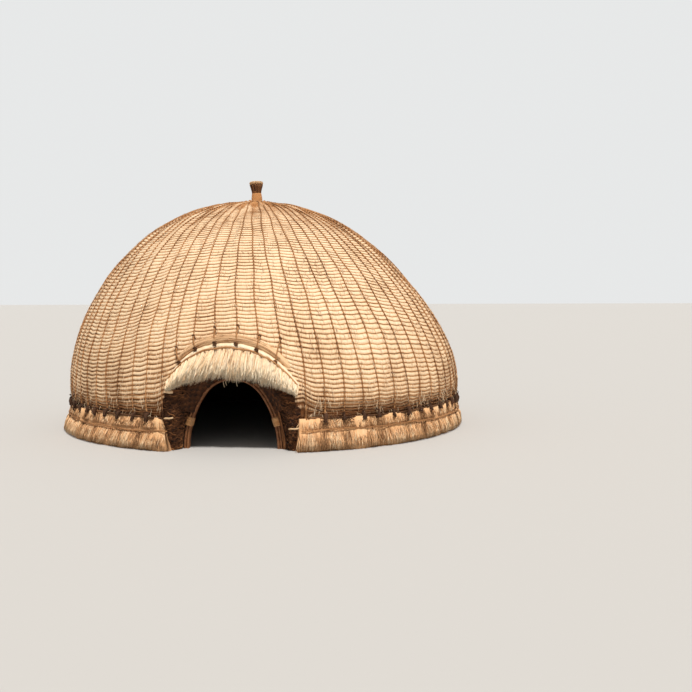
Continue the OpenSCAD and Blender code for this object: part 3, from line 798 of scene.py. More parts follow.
def seen_runs(path):
    """First and last number of each run of a path's points that the hood doesn't cover."""
    seen = ~under_hood(path)
    edge = np.flatnonzero(np.diff(np.concatenate([[0], seen.astype(int), [0]])))
    return [(low, high) for low, high in zip(edge[::2], edge[1::2]) if high - low >= least_run]


def rope(path, radius, sides, tone):
    """A tube along one path, with its sides turned from the hut's middle."""
    return tubes(path[None], radius, sides, (path - net_middle)[None], tone)


def cut_rope(path, radius, sides, tone):
    """The same rope, left out where it would pass under the hood."""
    parts = []
    for low, high in seen_runs(path):
        parts += rope(path[low:high], radius, sides, tone)
    return parts


level_parts = []
for number, q in enumerate(rows):
    wander = row_wander * np.sin(row_a * (5 + number % 4) + number * 1.7)
    wander = wander + row_wander * ripples(row_a + number, q)
    path = net_point(q + wander, row_a, 0.001)
    # Painted shade: the ropes are darker near the foot, under the net's bulge.
    level_parts += cut_rope(path, row_r, 4, 0.5 - 0.4 * math.exp(-(q / 0.16) ** 2))
level_ropes = make_piece("net_level_ropes", level_parts, row_rope)
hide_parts("net_rows_lower", "net_rows_upper")

# %% Upright ropes
upright_r = 0.0068
knot_r = 0.0098
foot_thicker = 0.007
least_net_r = 0.3


def upright_path(index, q_top):
    """An upright rope's points: one on each level rope and one between."""
    a0 = (index + 0.5) * upright_step
    q = rows[rows < q_top]
    q = np.sort(np.concatenate([[0.0], q, (q[:-1] + q[1:]) / 2]))
    sway = 0.008 * np.sin(q * 3.1 + index * 2.3) + 0.005 * np.sin(q * 9.0 + index)
    r = np.maximum(section(q)[0], least_net_r)
    on_rope = np.isin(q, rows)
    path = net_point(q, a0 + sway / r, np.where(on_rope, 0.0085, 0.011))
    thick = np.where(on_rope, knot_r, upright_r) * (1 - 0.25 * ease(q / net_top))
    thick = thick + foot_thicker * np.exp(-(q / 0.07) ** 2)
    # Painted shade: darker at each knot and near the foot.
    low_down = np.exp(-(q / 0.09) ** 2) * (0.3 + 0.3 * np.sin(index * 1.3))
    return path, thick, 0.64 - 0.42 * on_rope + 0.06 * np.sin(index * 1.9) - low_down


upright_parts = {"right": [], "left": []}
short_ends = rng.uniform(0.15, 0.75, uprights)
for index in range(uprights):
    top = net_top - (0.02 if index % 2 == 0 else short_ends[index])
    path, thick, tone = upright_path(index, top)
    side = "right" if index < uprights / 2 else "left"
    for low, high in seen_runs(path):
        upright_parts[side] += rope(path[low:high], thick[None, low:high], 4, tone[None, low:high])
for side, parts in upright_parts.items():
    net_half = make_piece("net_uprights_" + side, parts, upright_rope)
    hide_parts("net_uprights_" + side, "net_crown_uprights_" + side)

# %% [markdown]
# ## Rings and foot knots
# The net hangs from a ring round the crown and ends in a thick rope along its foot.
# There every upright is doubled back and knotted, and its loose end hangs over the skirt. These knots are
# ragged and they draw a dotted line round the hut; their dark finish, like the low tone of the foot rope, is
# painted shade under the bulge of the net.
# Each is a fat bent tube for the hitch, two short tapered ones for the ends, and a
# few thin wisps of grass caught in it.

# %% The rings of the net
foot_q = 0.012
foot_off = 0.016
shoulder_q = 1.05
ring_a = np.linspace(0, 2 * math.pi, 181)
foot_line = net_point(foot_q + 0.006 * np.sin(7 * ring_a), ring_a, foot_off)
shoulder_line = net_point(shoulder_q + 0 * ring_a, ring_a, 0.004)
crown_line = net_point(net_top + 0 * ring_a, ring_a, 0.010)
# The foot rope's low tone is painted shade.
ring_parts = cut_rope(foot_line, 0.011, 6, 0.1)
ring_parts += cut_rope(shoulder_line, 0.0055, 6, 0.6)
ring_parts += rope(crown_line, 0.013, 6, 0.5)
rings = make_piece("net_rings_dressed", ring_parts, upright_rope)
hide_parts("net_rings")

# %% Knots along the foot
hitch_turns = np.linspace(-2.6, 3.2, 8)
hitch_thick = np.array([0.008, 0.011, 0.012, 0.012, 0.012, 0.012, 0.010, 0.007])
end_taper = np.array([0.009, 0.0085, 0.006, 0.002])
wisp_taper = np.array([0.003, 0.0045, 0.004, 0.0015])
end_t = np.linspace(0, 1, 4)[:, None]
knot_paths = []
knot_thick = []
end_paths = []
end_thick = []
for index in range(uprights):
    a0 = (index + 0.5) * upright_step + rng.uniform(-0.006, 0.006)
    base = net_point(np.array(foot_q), np.array(a0), foot_off)
    if under_hood(base, 0.03):
        continue
    out = np.array([math.sin(a0), -math.cos(a0), 0.0])
    along = np.array([math.cos(a0), math.sin(a0), 0.0])
    size = rng.uniform(1.1, 1.9)
    round_it = np.cos(hitch_turns)[:, None] * out * 0.8 + np.sin(hitch_turns)[:, None] * straight_up
    hitch = base + size * 0.020 * round_it
    knot_paths.append(hitch + np.linspace(-0.012, 0.012, 8)[:, None] * along)
    knot_thick.append(size * hitch_thick)
    for side in (-1, 1):
        fall = rng.uniform(0.03, 0.075)
        sweep = side * rng.uniform(0.010, 0.035)
        hang = sweep * along - fall * straight_up
        start = base + 0.018 * out
        end_paths.append(start + end_t * hang + 0.022 * np.sin(math.pi * end_t) * out)
        end_thick.append(end_taper * rng.uniform(0.8, 1.3))
    for _ in range(rng.integers(2, 6)):
        aside = rng.uniform(-0.06, 0.06) * along
        start = base + 0.014 * out + aside + rng.uniform(-0.01, 0.08) * straight_up
        reach = rng.uniform(-0.07, 0.07) * along + rng.uniform(-0.06, 0.03) * straight_up
        end_paths.append(start + end_t * reach + 0.016 * np.sin(math.pi * end_t) * out)
        end_thick.append(wisp_taper * rng.uniform(0.8, 1.3))
knot_paths = np.array(knot_paths)
end_paths = np.array(end_paths)
level = np.array([1, 1, 0])
knot_side = np.cross(knot_paths * level, straight_up)
knot_parts = tubes(knot_paths, np.array(knot_thick), 6, knot_side, 0.35)
knot_parts += tubes(end_paths, np.array(end_thick), 5, end_paths * level, 0.3)
knots = make_piece("net_foot_knots", knot_parts, knot_rope)
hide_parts("net_foot_loops")

# %% [markdown]
# ## The skirt of loose grass
# Below the net, tufts of grass are tucked under the edge rope, hang to the ground and
# spread a little. A rope tied round them holds them in. It is built as a lumpy band
# with real thickness, and thousands of flat tapered blades laid over it in tufts, so
# that the hem on the ground is ragged. Blender's hair could do this too, but a mesh
# can be exported and keeps its exact place.

# %% Blades of grass
def blades(root, tip, width, out, bow, tone):
    """Closed three-sided blades from root to tip, bowed outwards in the middle."""
    count = len(root)
    along = unit(tip - root)
    across = unit(np.cross(along, out))
    up = np.cross(across, along)
    knee = root + 0.55 * (tip - root) + bow[:, None] * out
    thick = width[:, None]
    points = np.stack([root - 0.8 * thick * across, root + 0.8 * thick * across, root + 0.7 * thick * up,
                       knee - thick * across, knee + thick * across, knee + 0.9 * thick * up, tip], axis=1)
    # Painted shade: darker at the root, where the blades lie under others, and paler at the tip.
    tones = tone[:, None] + np.array([-0.15, -0.15, -0.1, 0.0, 0.0, 0.05, 0.1])
    walls = np.array([[0, 3, 4, 1], [1, 4, 5, 2], [2, 5, 3, 0]])
    ends = np.array([[0, 1, 2], [3, 6, 4], [4, 6, 5], [5, 6, 3]])
    start = np.arange(count)[:, None, None] * 7
    length = np.linalg.norm(tip - root, axis=-1, keepdims=True)
    over_it = np.array([0, 0.004, 0.002, 0, 0.004, 0.002, 0.002])
    up_it = np.array([0, 0, 0, 0.55, 0.55, 0.55, 1.0])
    place_u = rng.uniform(0, 3, count)[:, None] + over_it
    place_v = rng.uniform(0, 3, count)[:, None] + length * up_it
    spot = np.stack([place_u, place_v], axis=-1)
    wall_faces = (walls[None] + start).reshape(-1, 4)
    end_corners = (ends[None] + start).reshape(-1, 3) - count * 7
    return [(points.reshape(-1, 3), wall_faces, tones.reshape(-1), spot[:, walls].reshape(-1, 4, 2)),
            (np.zeros((0, 3)), end_corners, np.zeros(0), spot[:, ends].reshape(-1, 3, 2))]


print("a blade has 7 points and 10 triangles")

# %% The figure of the skirt
skirt_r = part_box("skirt_right")[1].x
skirt_top_t = 0.03
skirt_tie_z = 0.228
skirt_tie_draw = 0.016
skirt_tie_reach = 0.035
skirt_gap = math.asin((door_half + splay) / skirt_r)
skirt_names = ("skirt_right", "skirt_back_right", "skirt_back_left", "skirt_left")
skirt_step = (2 * math.pi - 2 * skirt_gap) / len(skirt_names)
tuft_wave = waves(21, 10, 90, 3.0)
blades_each = 4000
left_slant = 0.045


def skirt_face(z):
    """Radius of the skirt's face at a height."""
    return skirt_r + (foot_r + skirt_top_t - skirt_r) * np.clip(z / foot_z, 0, 1)


def tied_in(z):
    """How far the rope round the skirt pulls the grass in."""
    return skirt_tie_draw * np.exp(-((z - skirt_tie_z) / skirt_tie_reach) ** 2)


def slanted(a, z):
    """Draws the skirt's left end back at its top, where it is tied beside the doorway."""
    from_end = 2 * math.pi - skirt_gap - a
    return a - left_slant * np.clip(z / foot_z, 0, 1) * np.clip(1 - from_end / 0.08, 0, 1)


print("skirt: %.2f m wide on the ground, open over %.0f degrees at the doorway"
      % (2 * skirt_r, math.degrees(2 * skirt_gap)))


# %% Bands and tufts
def skirt_band(first, last):
    """The lumpy band under the blades, closed."""
    a = np.linspace(first, last, 170)
    z = np.array([0.0, 0.03, 0.08, 0.14, 0.19, skirt_tie_z, 0.26, 0.30, foot_z + 0.012])
    grid_a, grid_z = np.meshgrid(a, z)
    lump = 0.012 * tuft_wave(grid_a, grid_z) + 0.004 * np.sin(grid_a * 211 + 3 * grid_z)
    low_down = np.clip(1 - grid_z / 0.12, 0, 1)
    r = skirt_face(grid_z) - 0.016 + lump - tied_in(grid_z) - 0.016 * low_down
    front = place(slanted(grid_a, grid_z), r, grid_z)
    back_a, back_z = np.meshgrid(a, np.array([foot_z, 0.0]))
    back = place(slanted(back_a, back_z), foot_r - 0.03 + 0 * back_a, back_z)
    shell = as_built(np.concatenate([front, back]))
    # Painted shade: paler on the lumps, darker where the rope draws the grass in and near the ground.
    tone = 0.48 + 9 * lump - 10 * tied_in(grid_z) - 0.4 * low_down
    tones = np.concatenate([tone, np.full(back_a.shape, 0.1)])
    return closed_band(shell, tones, a * 2.5, 0, True)


def skirt_blades(first, last, count):
    """Tufts of blades from under the edge rope down to the ground."""
    tuft = rng.uniform(first + 0.004, last - 0.004, count // 12)
    a = np.clip(tuft[rng.integers(0, len(tuft), count)] + rng.normal(0, 0.011, count), first, last)
    upper = rng.random(count) < 0.3
    top = np.where(upper, rng.uniform(0.27, 0.345, count), rng.uniform(0.13, 0.212, count))
    fall = np.where(upper, rng.uniform(0.05, 0.12, count), rng.uniform(0.09, 0.24, count))
    hem = rng.uniform(0.004, 0.03, count)
    low = np.maximum(top - fall, np.where(upper, skirt_tie_z - 0.004, hem))
    lean = rng.normal(0, 0.007, count)
    layer = rng.uniform(-0.008, 0.013, count) * np.where(upper, 0.4, 1.0)
    root_r = skirt_face(top) + layer * 0.5 - 0.012 - tied_in(top)
    tip_r = np.minimum(skirt_face(low) + layer + np.where(upper, -0.012, 0.014), skirt_r + 0.03)
    root = as_built(place(slanted(a, top), root_r, top))
    tip = as_built(place(slanted(a + lean, low), tip_r, low))
    out = np.stack([np.sin(a), -np.cos(a), 0 * a], axis=-1)
    width = rng.uniform(0.0018, 0.0042, count)
    # The upper blades are darker: painted shade under the foot of the net.
    tone = 0.54 + 0.30 * tuft_wave(a * 1.7, 0) + rng.normal(0, 0.22, count) - 0.14 * upper
    bow = rng.uniform(0.0, 0.012, count)
    return blades(root, tip, width, out, bow, np.clip(tone, 0.02, 1.0))


for number, name in enumerate(skirt_names):
    first = skirt_gap + number * skirt_step
    parts = skirt_band(first, first + skirt_step) + skirt_blades(first, first + skirt_step, blades_each)
    skirt = make_piece(name + "_grass", parts, skirt_straw)
    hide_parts(name)

# %% The rope round the skirt
rope_a = np.linspace(skirt_gap + 0.01, 2 * math.pi - skirt_gap - 0.01, 260)
rope_z = 0.218 + 0.010 * np.sin(3 * rope_a) + 0.006 * np.sin(17 * rope_a) + 0.003 * np.sin(53 * rope_a)
rope_path = as_built(place(rope_a, skirt_face(rope_z) - 0.003 + 0 * rope_a, rope_z))
tie = make_piece("skirt_rope_dressed", rope(rope_path, 0.0075, 6, 0.42), upright_rope)
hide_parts("skirt_rope")

# %% [markdown]
# ## The jambs of the doorway
# On each side the wall ends in a thick brown brush of twigs, bound level and rounded
# at the corner where people brush past. The body of each jamb is lofted: a closed
# outline on the ground, which runs back along the doorway, round the corner and
# across the face, is repeated at many heights. Twigs are then laid round that same
# outline, so they bend round the corner as real ones do.

# %% The outline of a jamb at a height
jamb_back_y = -math.sqrt(inner_r ** 2 - 0.5474 ** 2)
jamb_back_off = 0.0466
arch_shows = 0.042
arch_shows_deep = 0.22
splay_slope = (splay - jamb_back_off) / (wall_radius + jamb_back_y)
corner_r = 0.035
jamb_proud = 0.018
jamb_knee = 0.62
door_shift = lean_curve[0] * 0.6


def reveal_x(z, y):
    """Half of the splayed doorway's width at a height z and a depth y."""
    off = jamb_back_off + splay_slope * (jamb_back_y - y)
    off = off + arch_shows * np.clip((y - jamb_back_y + arch_shows_deep) / arch_shows_deep, 0, 1)
    return np.sqrt((arch_side_arc + off) ** 2 - z ** 2) - arch_side_x


def jamb_line(t, z, end_x):
    """x and y along the jamb's seen side: t runs from the back (0) round to the coat (1)."""
    face_y = -np.sqrt(face_r(z) ** 2 - reveal_x(z, -2.42) ** 2)
    corner_x = reveal_x(z, face_y)
    end_a = np.arcsin(end_x / face_r(z))
    back = np.clip(t / jamb_knee, 0, 1)
    y = jamb_back_y + back * (face_y - jamb_back_y - jamb_proud)
    x = reveal_x(z, y)
    over = np.clip((t - jamb_knee) / (1 - jamb_knee), 0, 1)
    corner_a = np.arctan2(corner_x, -face_y)
    turn = corner_a + over * (end_a - corner_a)
    out = face_r(z) + jamb_proud * np.cos(over * math.pi / 2) - 0.024 * over
    near = np.exp(-((t - jamb_knee) / 0.09) ** 2)
    on_face = t > jamb_knee
    px = np.where(on_face, out * np.sin(turn), x)
    py = np.where(on_face, -out * np.cos(turn), y)
    return px + corner_r * 0.45 * near, py + corner_r * 0.5 * near


jamb_t_steps = np.concatenate([np.linspace(0, 0.5, 9), np.linspace(0.54, 0.74, 9), np.linspace(0.79, 1, 5)])
jamb_rise = 0.24
jamb_z_steps = np.linspace(0, jamb_top + jamb_rise, 30)
jamb_hidden_r = (2.41, 2.36)
print("a jamb is %.0f mm deep" % (1000 * (jamb_back_y + wall_radius)))


# %% A jamb and its twigs
def jamb_body(side, end_x):
    """The lofted body of one jamb, closed."""
    t, z = np.meshgrid(jamb_t_steps, jamb_z_steps)
    x, y = jamb_line(t, z, end_x)
    rough = 0.010 * np.sin(z * 95 + 4 * np.sin(9 * t)) + 0.008 * np.sin(t * 31 + z * 40 + side)
    seen = np.stack([x - 0.6 * rough, y - 0.8 * rough, z], axis=-1)
    back_a = math.asin(end_x / foot_r)
    hidden_r, hidden_z = np.meshgrid(jamb_hidden_r, jamb_z_steps)
    hidden = np.stack([hidden_r * math.sin(back_a), -hidden_r * math.cos(back_a), hidden_z], axis=-1)
    shell = np.concatenate([seen, hidden], axis=1)
    shell[..., 0] = shell[..., 0] * side + door_shift
    count_z, count_t = shell.shape[:2]
    faces = grid_faces(count_z, count_t, True)
    width = run_length(shell[0])
    width = np.append(width, width[-1] + 0.2)
    grain = corner_grain(width, jamb_z_steps, count_z, count_t, True)[..., ::-1]
    caps = np.stack([np.arange(count_t), (count_z - 1) * count_t + np.arange(count_t)[::-1]])
    if side < 0:
        faces = faces[:, ::-1]
        grain = grain[:, ::-1]
        caps = caps[:, ::-1]
    # Painted shade: paler where the rough surface stands out, darker in its hollows.
    tones = np.clip(0.35 + 14 * np.pad(rough, ((0, 0), (0, 2))), 0, 1).reshape(-1)
    return [(shell.reshape(-1, 3), faces, tones, grain), end_faces(caps, count_z * count_t)]


def jamb_twigs(side, end_x, count):
    """Twigs laid level round the jamb, each bent to its outline."""
    middle = rng.uniform(0.05, 1.0, count)
    reach = rng.uniform(0.10, 0.34, count)
    height = rng.uniform(0.01, jamb_top + jamb_rise, count)
    tilt = rng.normal(0, 0.035, count)
    s = np.linspace(-0.5, 0.5, 7)
    t = np.clip(middle[:, None] + s * reach[:, None], 0.0, 1.04)
    z = height[:, None] + s * tilt[:, None] + 0.006 * np.sin(s * 8 + middle[:, None] * 40)
    z = np.maximum(z, 0.006)
    x, y = jamb_line(t, z, end_x)
    lift = rng.uniform(0.002, 0.016, count)[:, None]
    x = x - lift * np.clip(1.4 - t * 1.2, 0, 1)
    y = y - lift * np.clip(t * 1.6, 0, 1)
    path = np.stack([x * side + door_shift, y, z], axis=-1)
    thick = rng.uniform(0.0022, 0.0058, count)[:, None] * np.array([0.5, 0.9, 1, 1, 1, 0.9, 0.5])
    tone = np.clip(rng.normal(0.42, 0.22, count), 0, 1) + 0.5 * (rng.random(count) < 0.06)
    tone = np.broadcast_to(tone[:, None], thick.shape)
    return tubes(path, thick, 4, straight_up, tone)


twigs_each = 560
for name, side, end_x in (("door_jamb_left", -1, 0.775), ("door_jamb_right", 1, 0.735)):
    parts = jamb_body(side, end_x) + jamb_twigs(side, end_x, twigs_each)
    jamb = make_piece(name + "_brush", parts, jamb_brush)
    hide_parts(name)

# %% [markdown]
# ## Over the doorway
# Above the jambs the splay goes on as a vault of grass ends, dark because the hood
# shades it. It is a curved band between the arch of saplings and the face, thick
# enough to close the coat's cut edge.

# %% The vault behind the hood
first_face_y = -2.40
vault_t = 0.05


def splay_point(w, depth, more):
    """A point of the splayed doorway: w round the arch, depth from the arch (0) to the face (1)."""
    y = jamb_back_y + depth * (first_face_y - jamb_back_y)
    for _ in range(4):
        off = jamb_back_off + splay_slope * (jamb_back_y - y) + more
        x, z = door_outline(w, off)
        face_y = -np.sqrt(np.maximum(face_r(z) ** 2 - x ** 2, 0.01)) + 0.012
        y = jamb_back_y + depth * (face_y - jamb_back_y)
    return np.stack([x + door_shift, y, z], axis=-1)


def vault():
    """The closed band over the doorway."""
    w, depth = np.meshgrid(np.linspace(0.19, 0.81, 90), np.linspace(-0.10, 1.0, 14))
    rough = 0.008 * np.sin(w * 210 + depth * 9) + 0.006 * np.sin(w * 83 - depth * 17)
    under = splay_point(w, depth, rough)
    above = splay_point(w, depth, vault_t)[::-1]
    shell = np.concatenate([under, above])
    tones = np.concatenate([0.3 + 18 * rough, np.full(w.shape, 0.1)])
    return closed_band(shell, tones, np.linspace(0, 1.5, w.shape[1]), 0, False)


over_door = make_piece("thatch_over_door_ends", vault(), jamb_brush)
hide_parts("thatch_over_door")

# %% [markdown]
# ## The hood
# The hood is the pale thing over the doorway: long grass laid over the top edge,
# stitched down with a rope a hand below it, and left to hang as a fringe whose tips
# stand well out from the wall. So it starts thin against the coat and ends thick. A
# solid wedge carries it, and several layers of long blades make its face. The real
# one is fuller at its left shoulder, and there its grass is combed outwards.

# %% The hood's figure
fringe_mid_z = 0.725
fringe_rise = fringe_mid_z - fringe_end_z
fringe_arc = (hood_end_x ** 2 + fringe_rise ** 2) / (2 * fringe_rise)
hood_top_t = 0.034
hood_tip_t = 0.125
hood_shift = lean_curve[0] * 0.75
hood_tilt = 0.035
hood_lift = 0.016
end_lift = 0.14
hood_sunk = 0.02


def hood_point(u, v, off):
    """A point on the hood: u from -1 to 1 along it, v from its top edge (0) to the tips (1)."""
    turn = u * hood_half_turn
    top_x = hood_arc * np.sin(turn)
    top_z = hood_mid_z + hood_arc * np.cos(turn) + hood_rise(turn) + end_lift * np.clip(np.abs(u), 0, 1) ** 6
    low_x = top_x * (0.98 - 0.05 * (1 - np.abs(u)))
    low_z = fringe_mid_z - fringe_arc + np.sqrt(fringe_arc ** 2 - low_x ** 2)
    flat_x = top_x + v * (low_x - top_x)
    flat_z = top_z + v * (low_z - top_z) - hood_mid_z
    x = flat_x * math.cos(hood_tilt) + flat_z * math.sin(hood_tilt)
    z = flat_z * math.cos(hood_tilt) - flat_x * math.sin(hood_tilt) + hood_mid_z + hood_lift
    span = np.clip((hood_top_z - z) / (hood_top_z - fringe_end_z), 0, 1)
    stand = hood_top_t + (hood_tip_t - hood_top_t) * span * np.clip(v * 1.2 + 0.1, 0, 1)
    wall = face_r(z)
    y = -np.sqrt(np.maximum(wall ** 2 - x ** 2, 0.01)) - stand - off
    return np.stack([x + hood_shift, y, z], axis=-1)


print("the hood hangs %.2f m deep at its middle" % (hood_point(0, 0, 0)[2] - hood_point(0, 1, 0)[2]))

# %% The wedge and its blades
hood_wave = waves(31, 8, 40, 6.0)
hood_steps = np.array([0, 0.02, 0.045, 0.07, 0.1, 0.13, 0.2, 0.3, 0.42, 0.55, 0.68, 0.80])


def hood_body():
    """The wedge under the blades, closed at the back."""
    u, v = np.meshgrid(np.linspace(-1, 1, 120), hood_steps)
    lump = 0.007 * hood_wave(u * 2, v * 3)
    rolled_edge = 0.020 * np.exp(-((v - 0.07) / 0.06) ** 2)
    front = hood_point(u, v, lump - 0.012 + rolled_edge)
    back = hood_point(u, v, 0)[::-1]
    across = back[..., 0] - hood_shift
    back[..., 1] = hood_sunk - np.sqrt(np.maximum(face_r(back[..., 2]) ** 2 - across ** 2, 0))
    shell = np.concatenate([front, back])
    # Painted shade: paler on the lumps, darker down towards the tips; the rolled edge is paler, partly the
    # tied butts' own colour and partly painted highlight.
    tone = 0.62 + 12 * lump - 0.22 * v + 18 * rolled_edge
    tones = np.concatenate([tone, np.full(u.shape, 0.1)])
    return closed_band(shell, tones, np.linspace(0, 1.9, u.shape[1]), 60, False)


def tuft_of(u):
    """The same number for all the grass of one tuft."""
    return np.round(u * 45) / 9.0


def hood_blades(count):
    """Long grass from the top edge to ragged tips."""
    tuft = rng.uniform(-1, 1, count // 14)
    u = np.clip(tuft[rng.integers(0, len(tuft), count)] + rng.normal(0, 0.012, count), -1, 1)
    from_top = rng.random(count) < 0.4
    start = np.where(from_top, rng.uniform(0.13, 0.17, count), rng.uniform(0.17, 0.6, count))
    ragged = 0.05 * hood_wave(tuft_of(u), 0) + rng.normal(0, 0.03, count)
    to_hem = rng.random(count) < 0.5
    end = np.where(to_hem, rng.uniform(0.84, 0.94, count), rng.uniform(0.5, 0.88, count))
    end = np.clip(end + ragged, start + 0.2, 1.02)
    layer = rng.uniform(-0.006, 0.010, count)
    root = hood_point(u, start, layer)
    combed = 0.03 * np.clip(u, 0, 1) - 0.17 * np.exp(-((u + 0.45) / 0.35) ** 2)
    fan = combed * (end - start) / 0.7
    tip_u = np.clip(u + fan + rng.normal(0, 0.02, count), -1.02, 1.02)
    tip = hood_point(tip_u, end, layer + rng.uniform(-0.004, 0.014, count))
    out = np.stack([np.sin(u * 0.3), -np.cos(u * 0.3), 0 * u], axis=-1)
    width = rng.uniform(0.0020, 0.0046, count)
    # Blades that reach the hem are darker: painted shade among the tips.
    tone = np.clip(rng.normal(0.88, 0.36, count) - 0.5 * np.clip(end - 0.8, 0, 1), 0.0, 1.1)
    return blades(root, tip, width, out, rng.uniform(0, 0.006, count), tone)


hood_blades_all = 6400
hood = make_piece("door_hood_fringe", hood_body() + hood_blades(hood_blades_all), hood_straw)
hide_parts("door_hood")

# %% The stitched rope
hood_out = np.array([0, -1.0, 0.2])
stitch_side = np.array([-1, 0.5, -0.5, 1.0])
stitch_down = np.array([0.09, 0.12, 0.16, 0.20])
stitch_off = np.array([0.006, 0.014, 0.020, 0.004])
stitch_thick = np.array([[0.003, 0.005, 0.006, 0.003]])
stitch_u = np.linspace(-0.94, 0.94, 90)
stitch_v = 0.122 + 0.012 * np.sin(stitch_u * 23)
stitch = hood_point(stitch_u, stitch_v, 0.012 + 0.003 * np.sin(stitch_u * 61))
stitch_parts = tubes(stitch[None], 0.0085, 6, hood_out, 0.5)
for u in np.linspace(-0.88, 0.88, 17) + rng.uniform(-0.02, 0.02, 17):
    one_stitch = hood_point(u + 0.012 * stitch_side, stitch_down, stitch_off)
    stitch_parts += tubes(one_stitch[None], stitch_thick, 5, to_right, 0.35)
stitched = make_piece("door_hood_rope_dressed", stitch_parts, row_rope)
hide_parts("door_hood_rope")

# %% The roll over the hood
roll_half = math.radians(50)
roll_turn = np.linspace(-roll_half, roll_half, 70)
roll_stems = 130


def roll_parts():
    """A round bundle with long loose stems laid over it."""
    radius = hood_arc + roll_d / 2 + 0.004
    x = radius * np.sin(roll_turn + hood_tilt)
    z = hood_mid_z + hood_lift * 0.7 + radius * np.cos(roll_turn + hood_tilt) + hood_rise(roll_turn)
    y = -np.sqrt(face_r(z) ** 2 - x ** 2) - 0.008
    spine = np.stack([x + hood_shift, y, z], axis=-1)
    taper = 0.3 + 0.7 * np.sqrt(np.clip(1 - (np.abs(roll_turn) / roll_half) ** 3, 0, 1))
    thick = roll_d / 2 * 1.08 * taper * (1 + 0.05 * np.sin(roll_turn * 71))
    parts = tubes(spine[None], thick[None], 12, to_front, 0.5)
    for _ in range(roll_stems):
        low = rng.integers(0, 40)
        high = low + rng.integers(18, 30)
        turn = rng.uniform(-0.6, 2.7)
        away = thick[low:high] * 1.02 + 0.002
        side = np.stack([0 * away, -np.sin(turn) * away, np.cos(turn) * away], axis=-1)
        stem = spine[low:high] + side
        thin = rng.uniform(0.002, 0.0045)
        tone = float(np.clip(rng.normal(0.5, 0.2), 0, 1))
        parts += tubes(stem[None, ::3], thin, 4, np.array([0, -1.0, 0.1]), tone)
    return parts


roll = make_piece("door_roll_stems", roll_parts(), roll_straw)
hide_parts("door_roll")

# %% [markdown]
# The uprights over the doorway end here. Each is drawn over the roll and hitched to
# the hood's edge, with a dark knot and a loose end above the roll and below it. They
# are not cut to one length, so most of them have a small extra height of their own.

# %% Uprights tied down over the roll
tie_q = 0.85
tie_most_x = 0.62
tie_span = hood_arc + roll_d + 0.03
tie_extra = {-3: 0.040, -2: 0.013, -1: 0.033, 0: 0.051, 2: 0.087}
tie_t = np.linspace(0, 1, 9)
tie_thick = np.linspace(0.0065, 0.008, 9)
knot_turn = np.linspace(-2.4, 3.0, 7)
round_knot = np.stack([np.cos(knot_turn), -0.5 - 0.3 * np.cos(knot_turn), np.sin(knot_turn)], axis=-1)
loose_taper = np.array([[0.006, 0.006, 0.004, 0.002]])
tie_parts = []
for index in range(-4, 4):
    a0 = (index + 0.5) * upright_step
    x = section(np.array(tie_q))[0] * math.sin(a0 + drift(a0, tie_q))
    if abs(x) > tie_most_x:
        continue
    base_z = hood_mid_z + hood_lift + float(hood_rise(math.asin(x / hood_arc)))
    top_z = base_z + math.sqrt(tie_span ** 2 - x ** 2) + 0.02 + tie_extra.get(index, 0)
    low_z = base_z + math.sqrt((hood_arc - 0.005) ** 2 - (0.92 * x) ** 2) - hood_tilt * x
    z = top_z + tie_t * (low_z - top_z)
    over = 0.014 + 0.034 * np.sin(math.pi * np.clip(tie_t * 1.15, 0, 1)) + 0.030 * tie_t
    path_x = x * (1 - 0.08 * tie_t)
    y = -np.sqrt(face_r(z) ** 2 - path_x ** 2) - over
    path = np.stack([path_x + hood_shift, y, z], axis=-1)
    tie_parts += tubes(path[None], tie_thick[None], 5, hood_out, 0.5)
    for end, size in ((0, 0.9), (8, 1.25)):
        knot = path[end] + size * 0.014 * round_knot
        # The knots and loose ends take a low tone: painted shade.
        tie_parts += tubes(knot[None], 0.0085 * size, 5, hood_out, 0.12)
        fall = np.array([rng.uniform(-0.03, 0.03), -0.022, -0.035])
        loose_end = path[end] + end_t * fall
        tie_parts += tubes(loose_end[None], loose_taper, 4, to_right, 0.15)
ties = make_piece("door_hood_ties", tie_parts, upright_rope)

# %% [markdown]
# ## The finial
# On top stands a short brush of stiff dark stems on a collar of wound cord, with a
# pale pad of grass over it. It leans a touch, like the rest. The collar is one long
# rope wound in a helix, the brush a fan of separate stems, and the pad a flattened
# ring of grass, so each shows how it was made.

# %% The finial's place and tilt
finial_lean = math.radians(2)
ring_r = 0.08
collar_h = 0.132
waist_r = 0.057
brush_r = 0.086
brush_h = 0.112


def on_finial(points):
    """Tilts points round the middle of the crown's curve, as the solids are."""
    p = np.array(points, dtype=float)
    z = p[..., 2] - crown_mid_z
    x = p[..., 0] * math.cos(finial_lean) - z * math.sin(finial_lean)
    up = p[..., 0] * math.sin(finial_lean) + z * math.cos(finial_lean)
    return np.stack([x + 0.016, p[..., 1], up + crown_mid_z], axis=-1)


def helix(radii, low, high, turns, points):
    """A path wound round the finial's axis, with its radii spread evenly up it."""
    t = np.linspace(0, 1, points)
    a = t * turns * 2 * math.pi
    radius = np.interp(t, np.linspace(0, 1, len(radii)), radii)
    return on_finial(np.stack([radius * np.cos(a), radius * np.sin(a), low + t * (high - low)], axis=-1))


print("the finial stands %.0f mm high" % (1000 * (collar_h + brush_h)))

# %% The ring and the collar
ring_path = helix([ring_r, ring_r + 0.004, ring_r], crown_z + 0.008, crown_z + 0.016, 2.05, 90)
ring_parts = tubes(ring_path[None], 0.0095, 7, straight_up, 0.4)
ring_piece = make_piece("finial_ring_rope", ring_parts, knot_rope)
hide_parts("finial_ring")

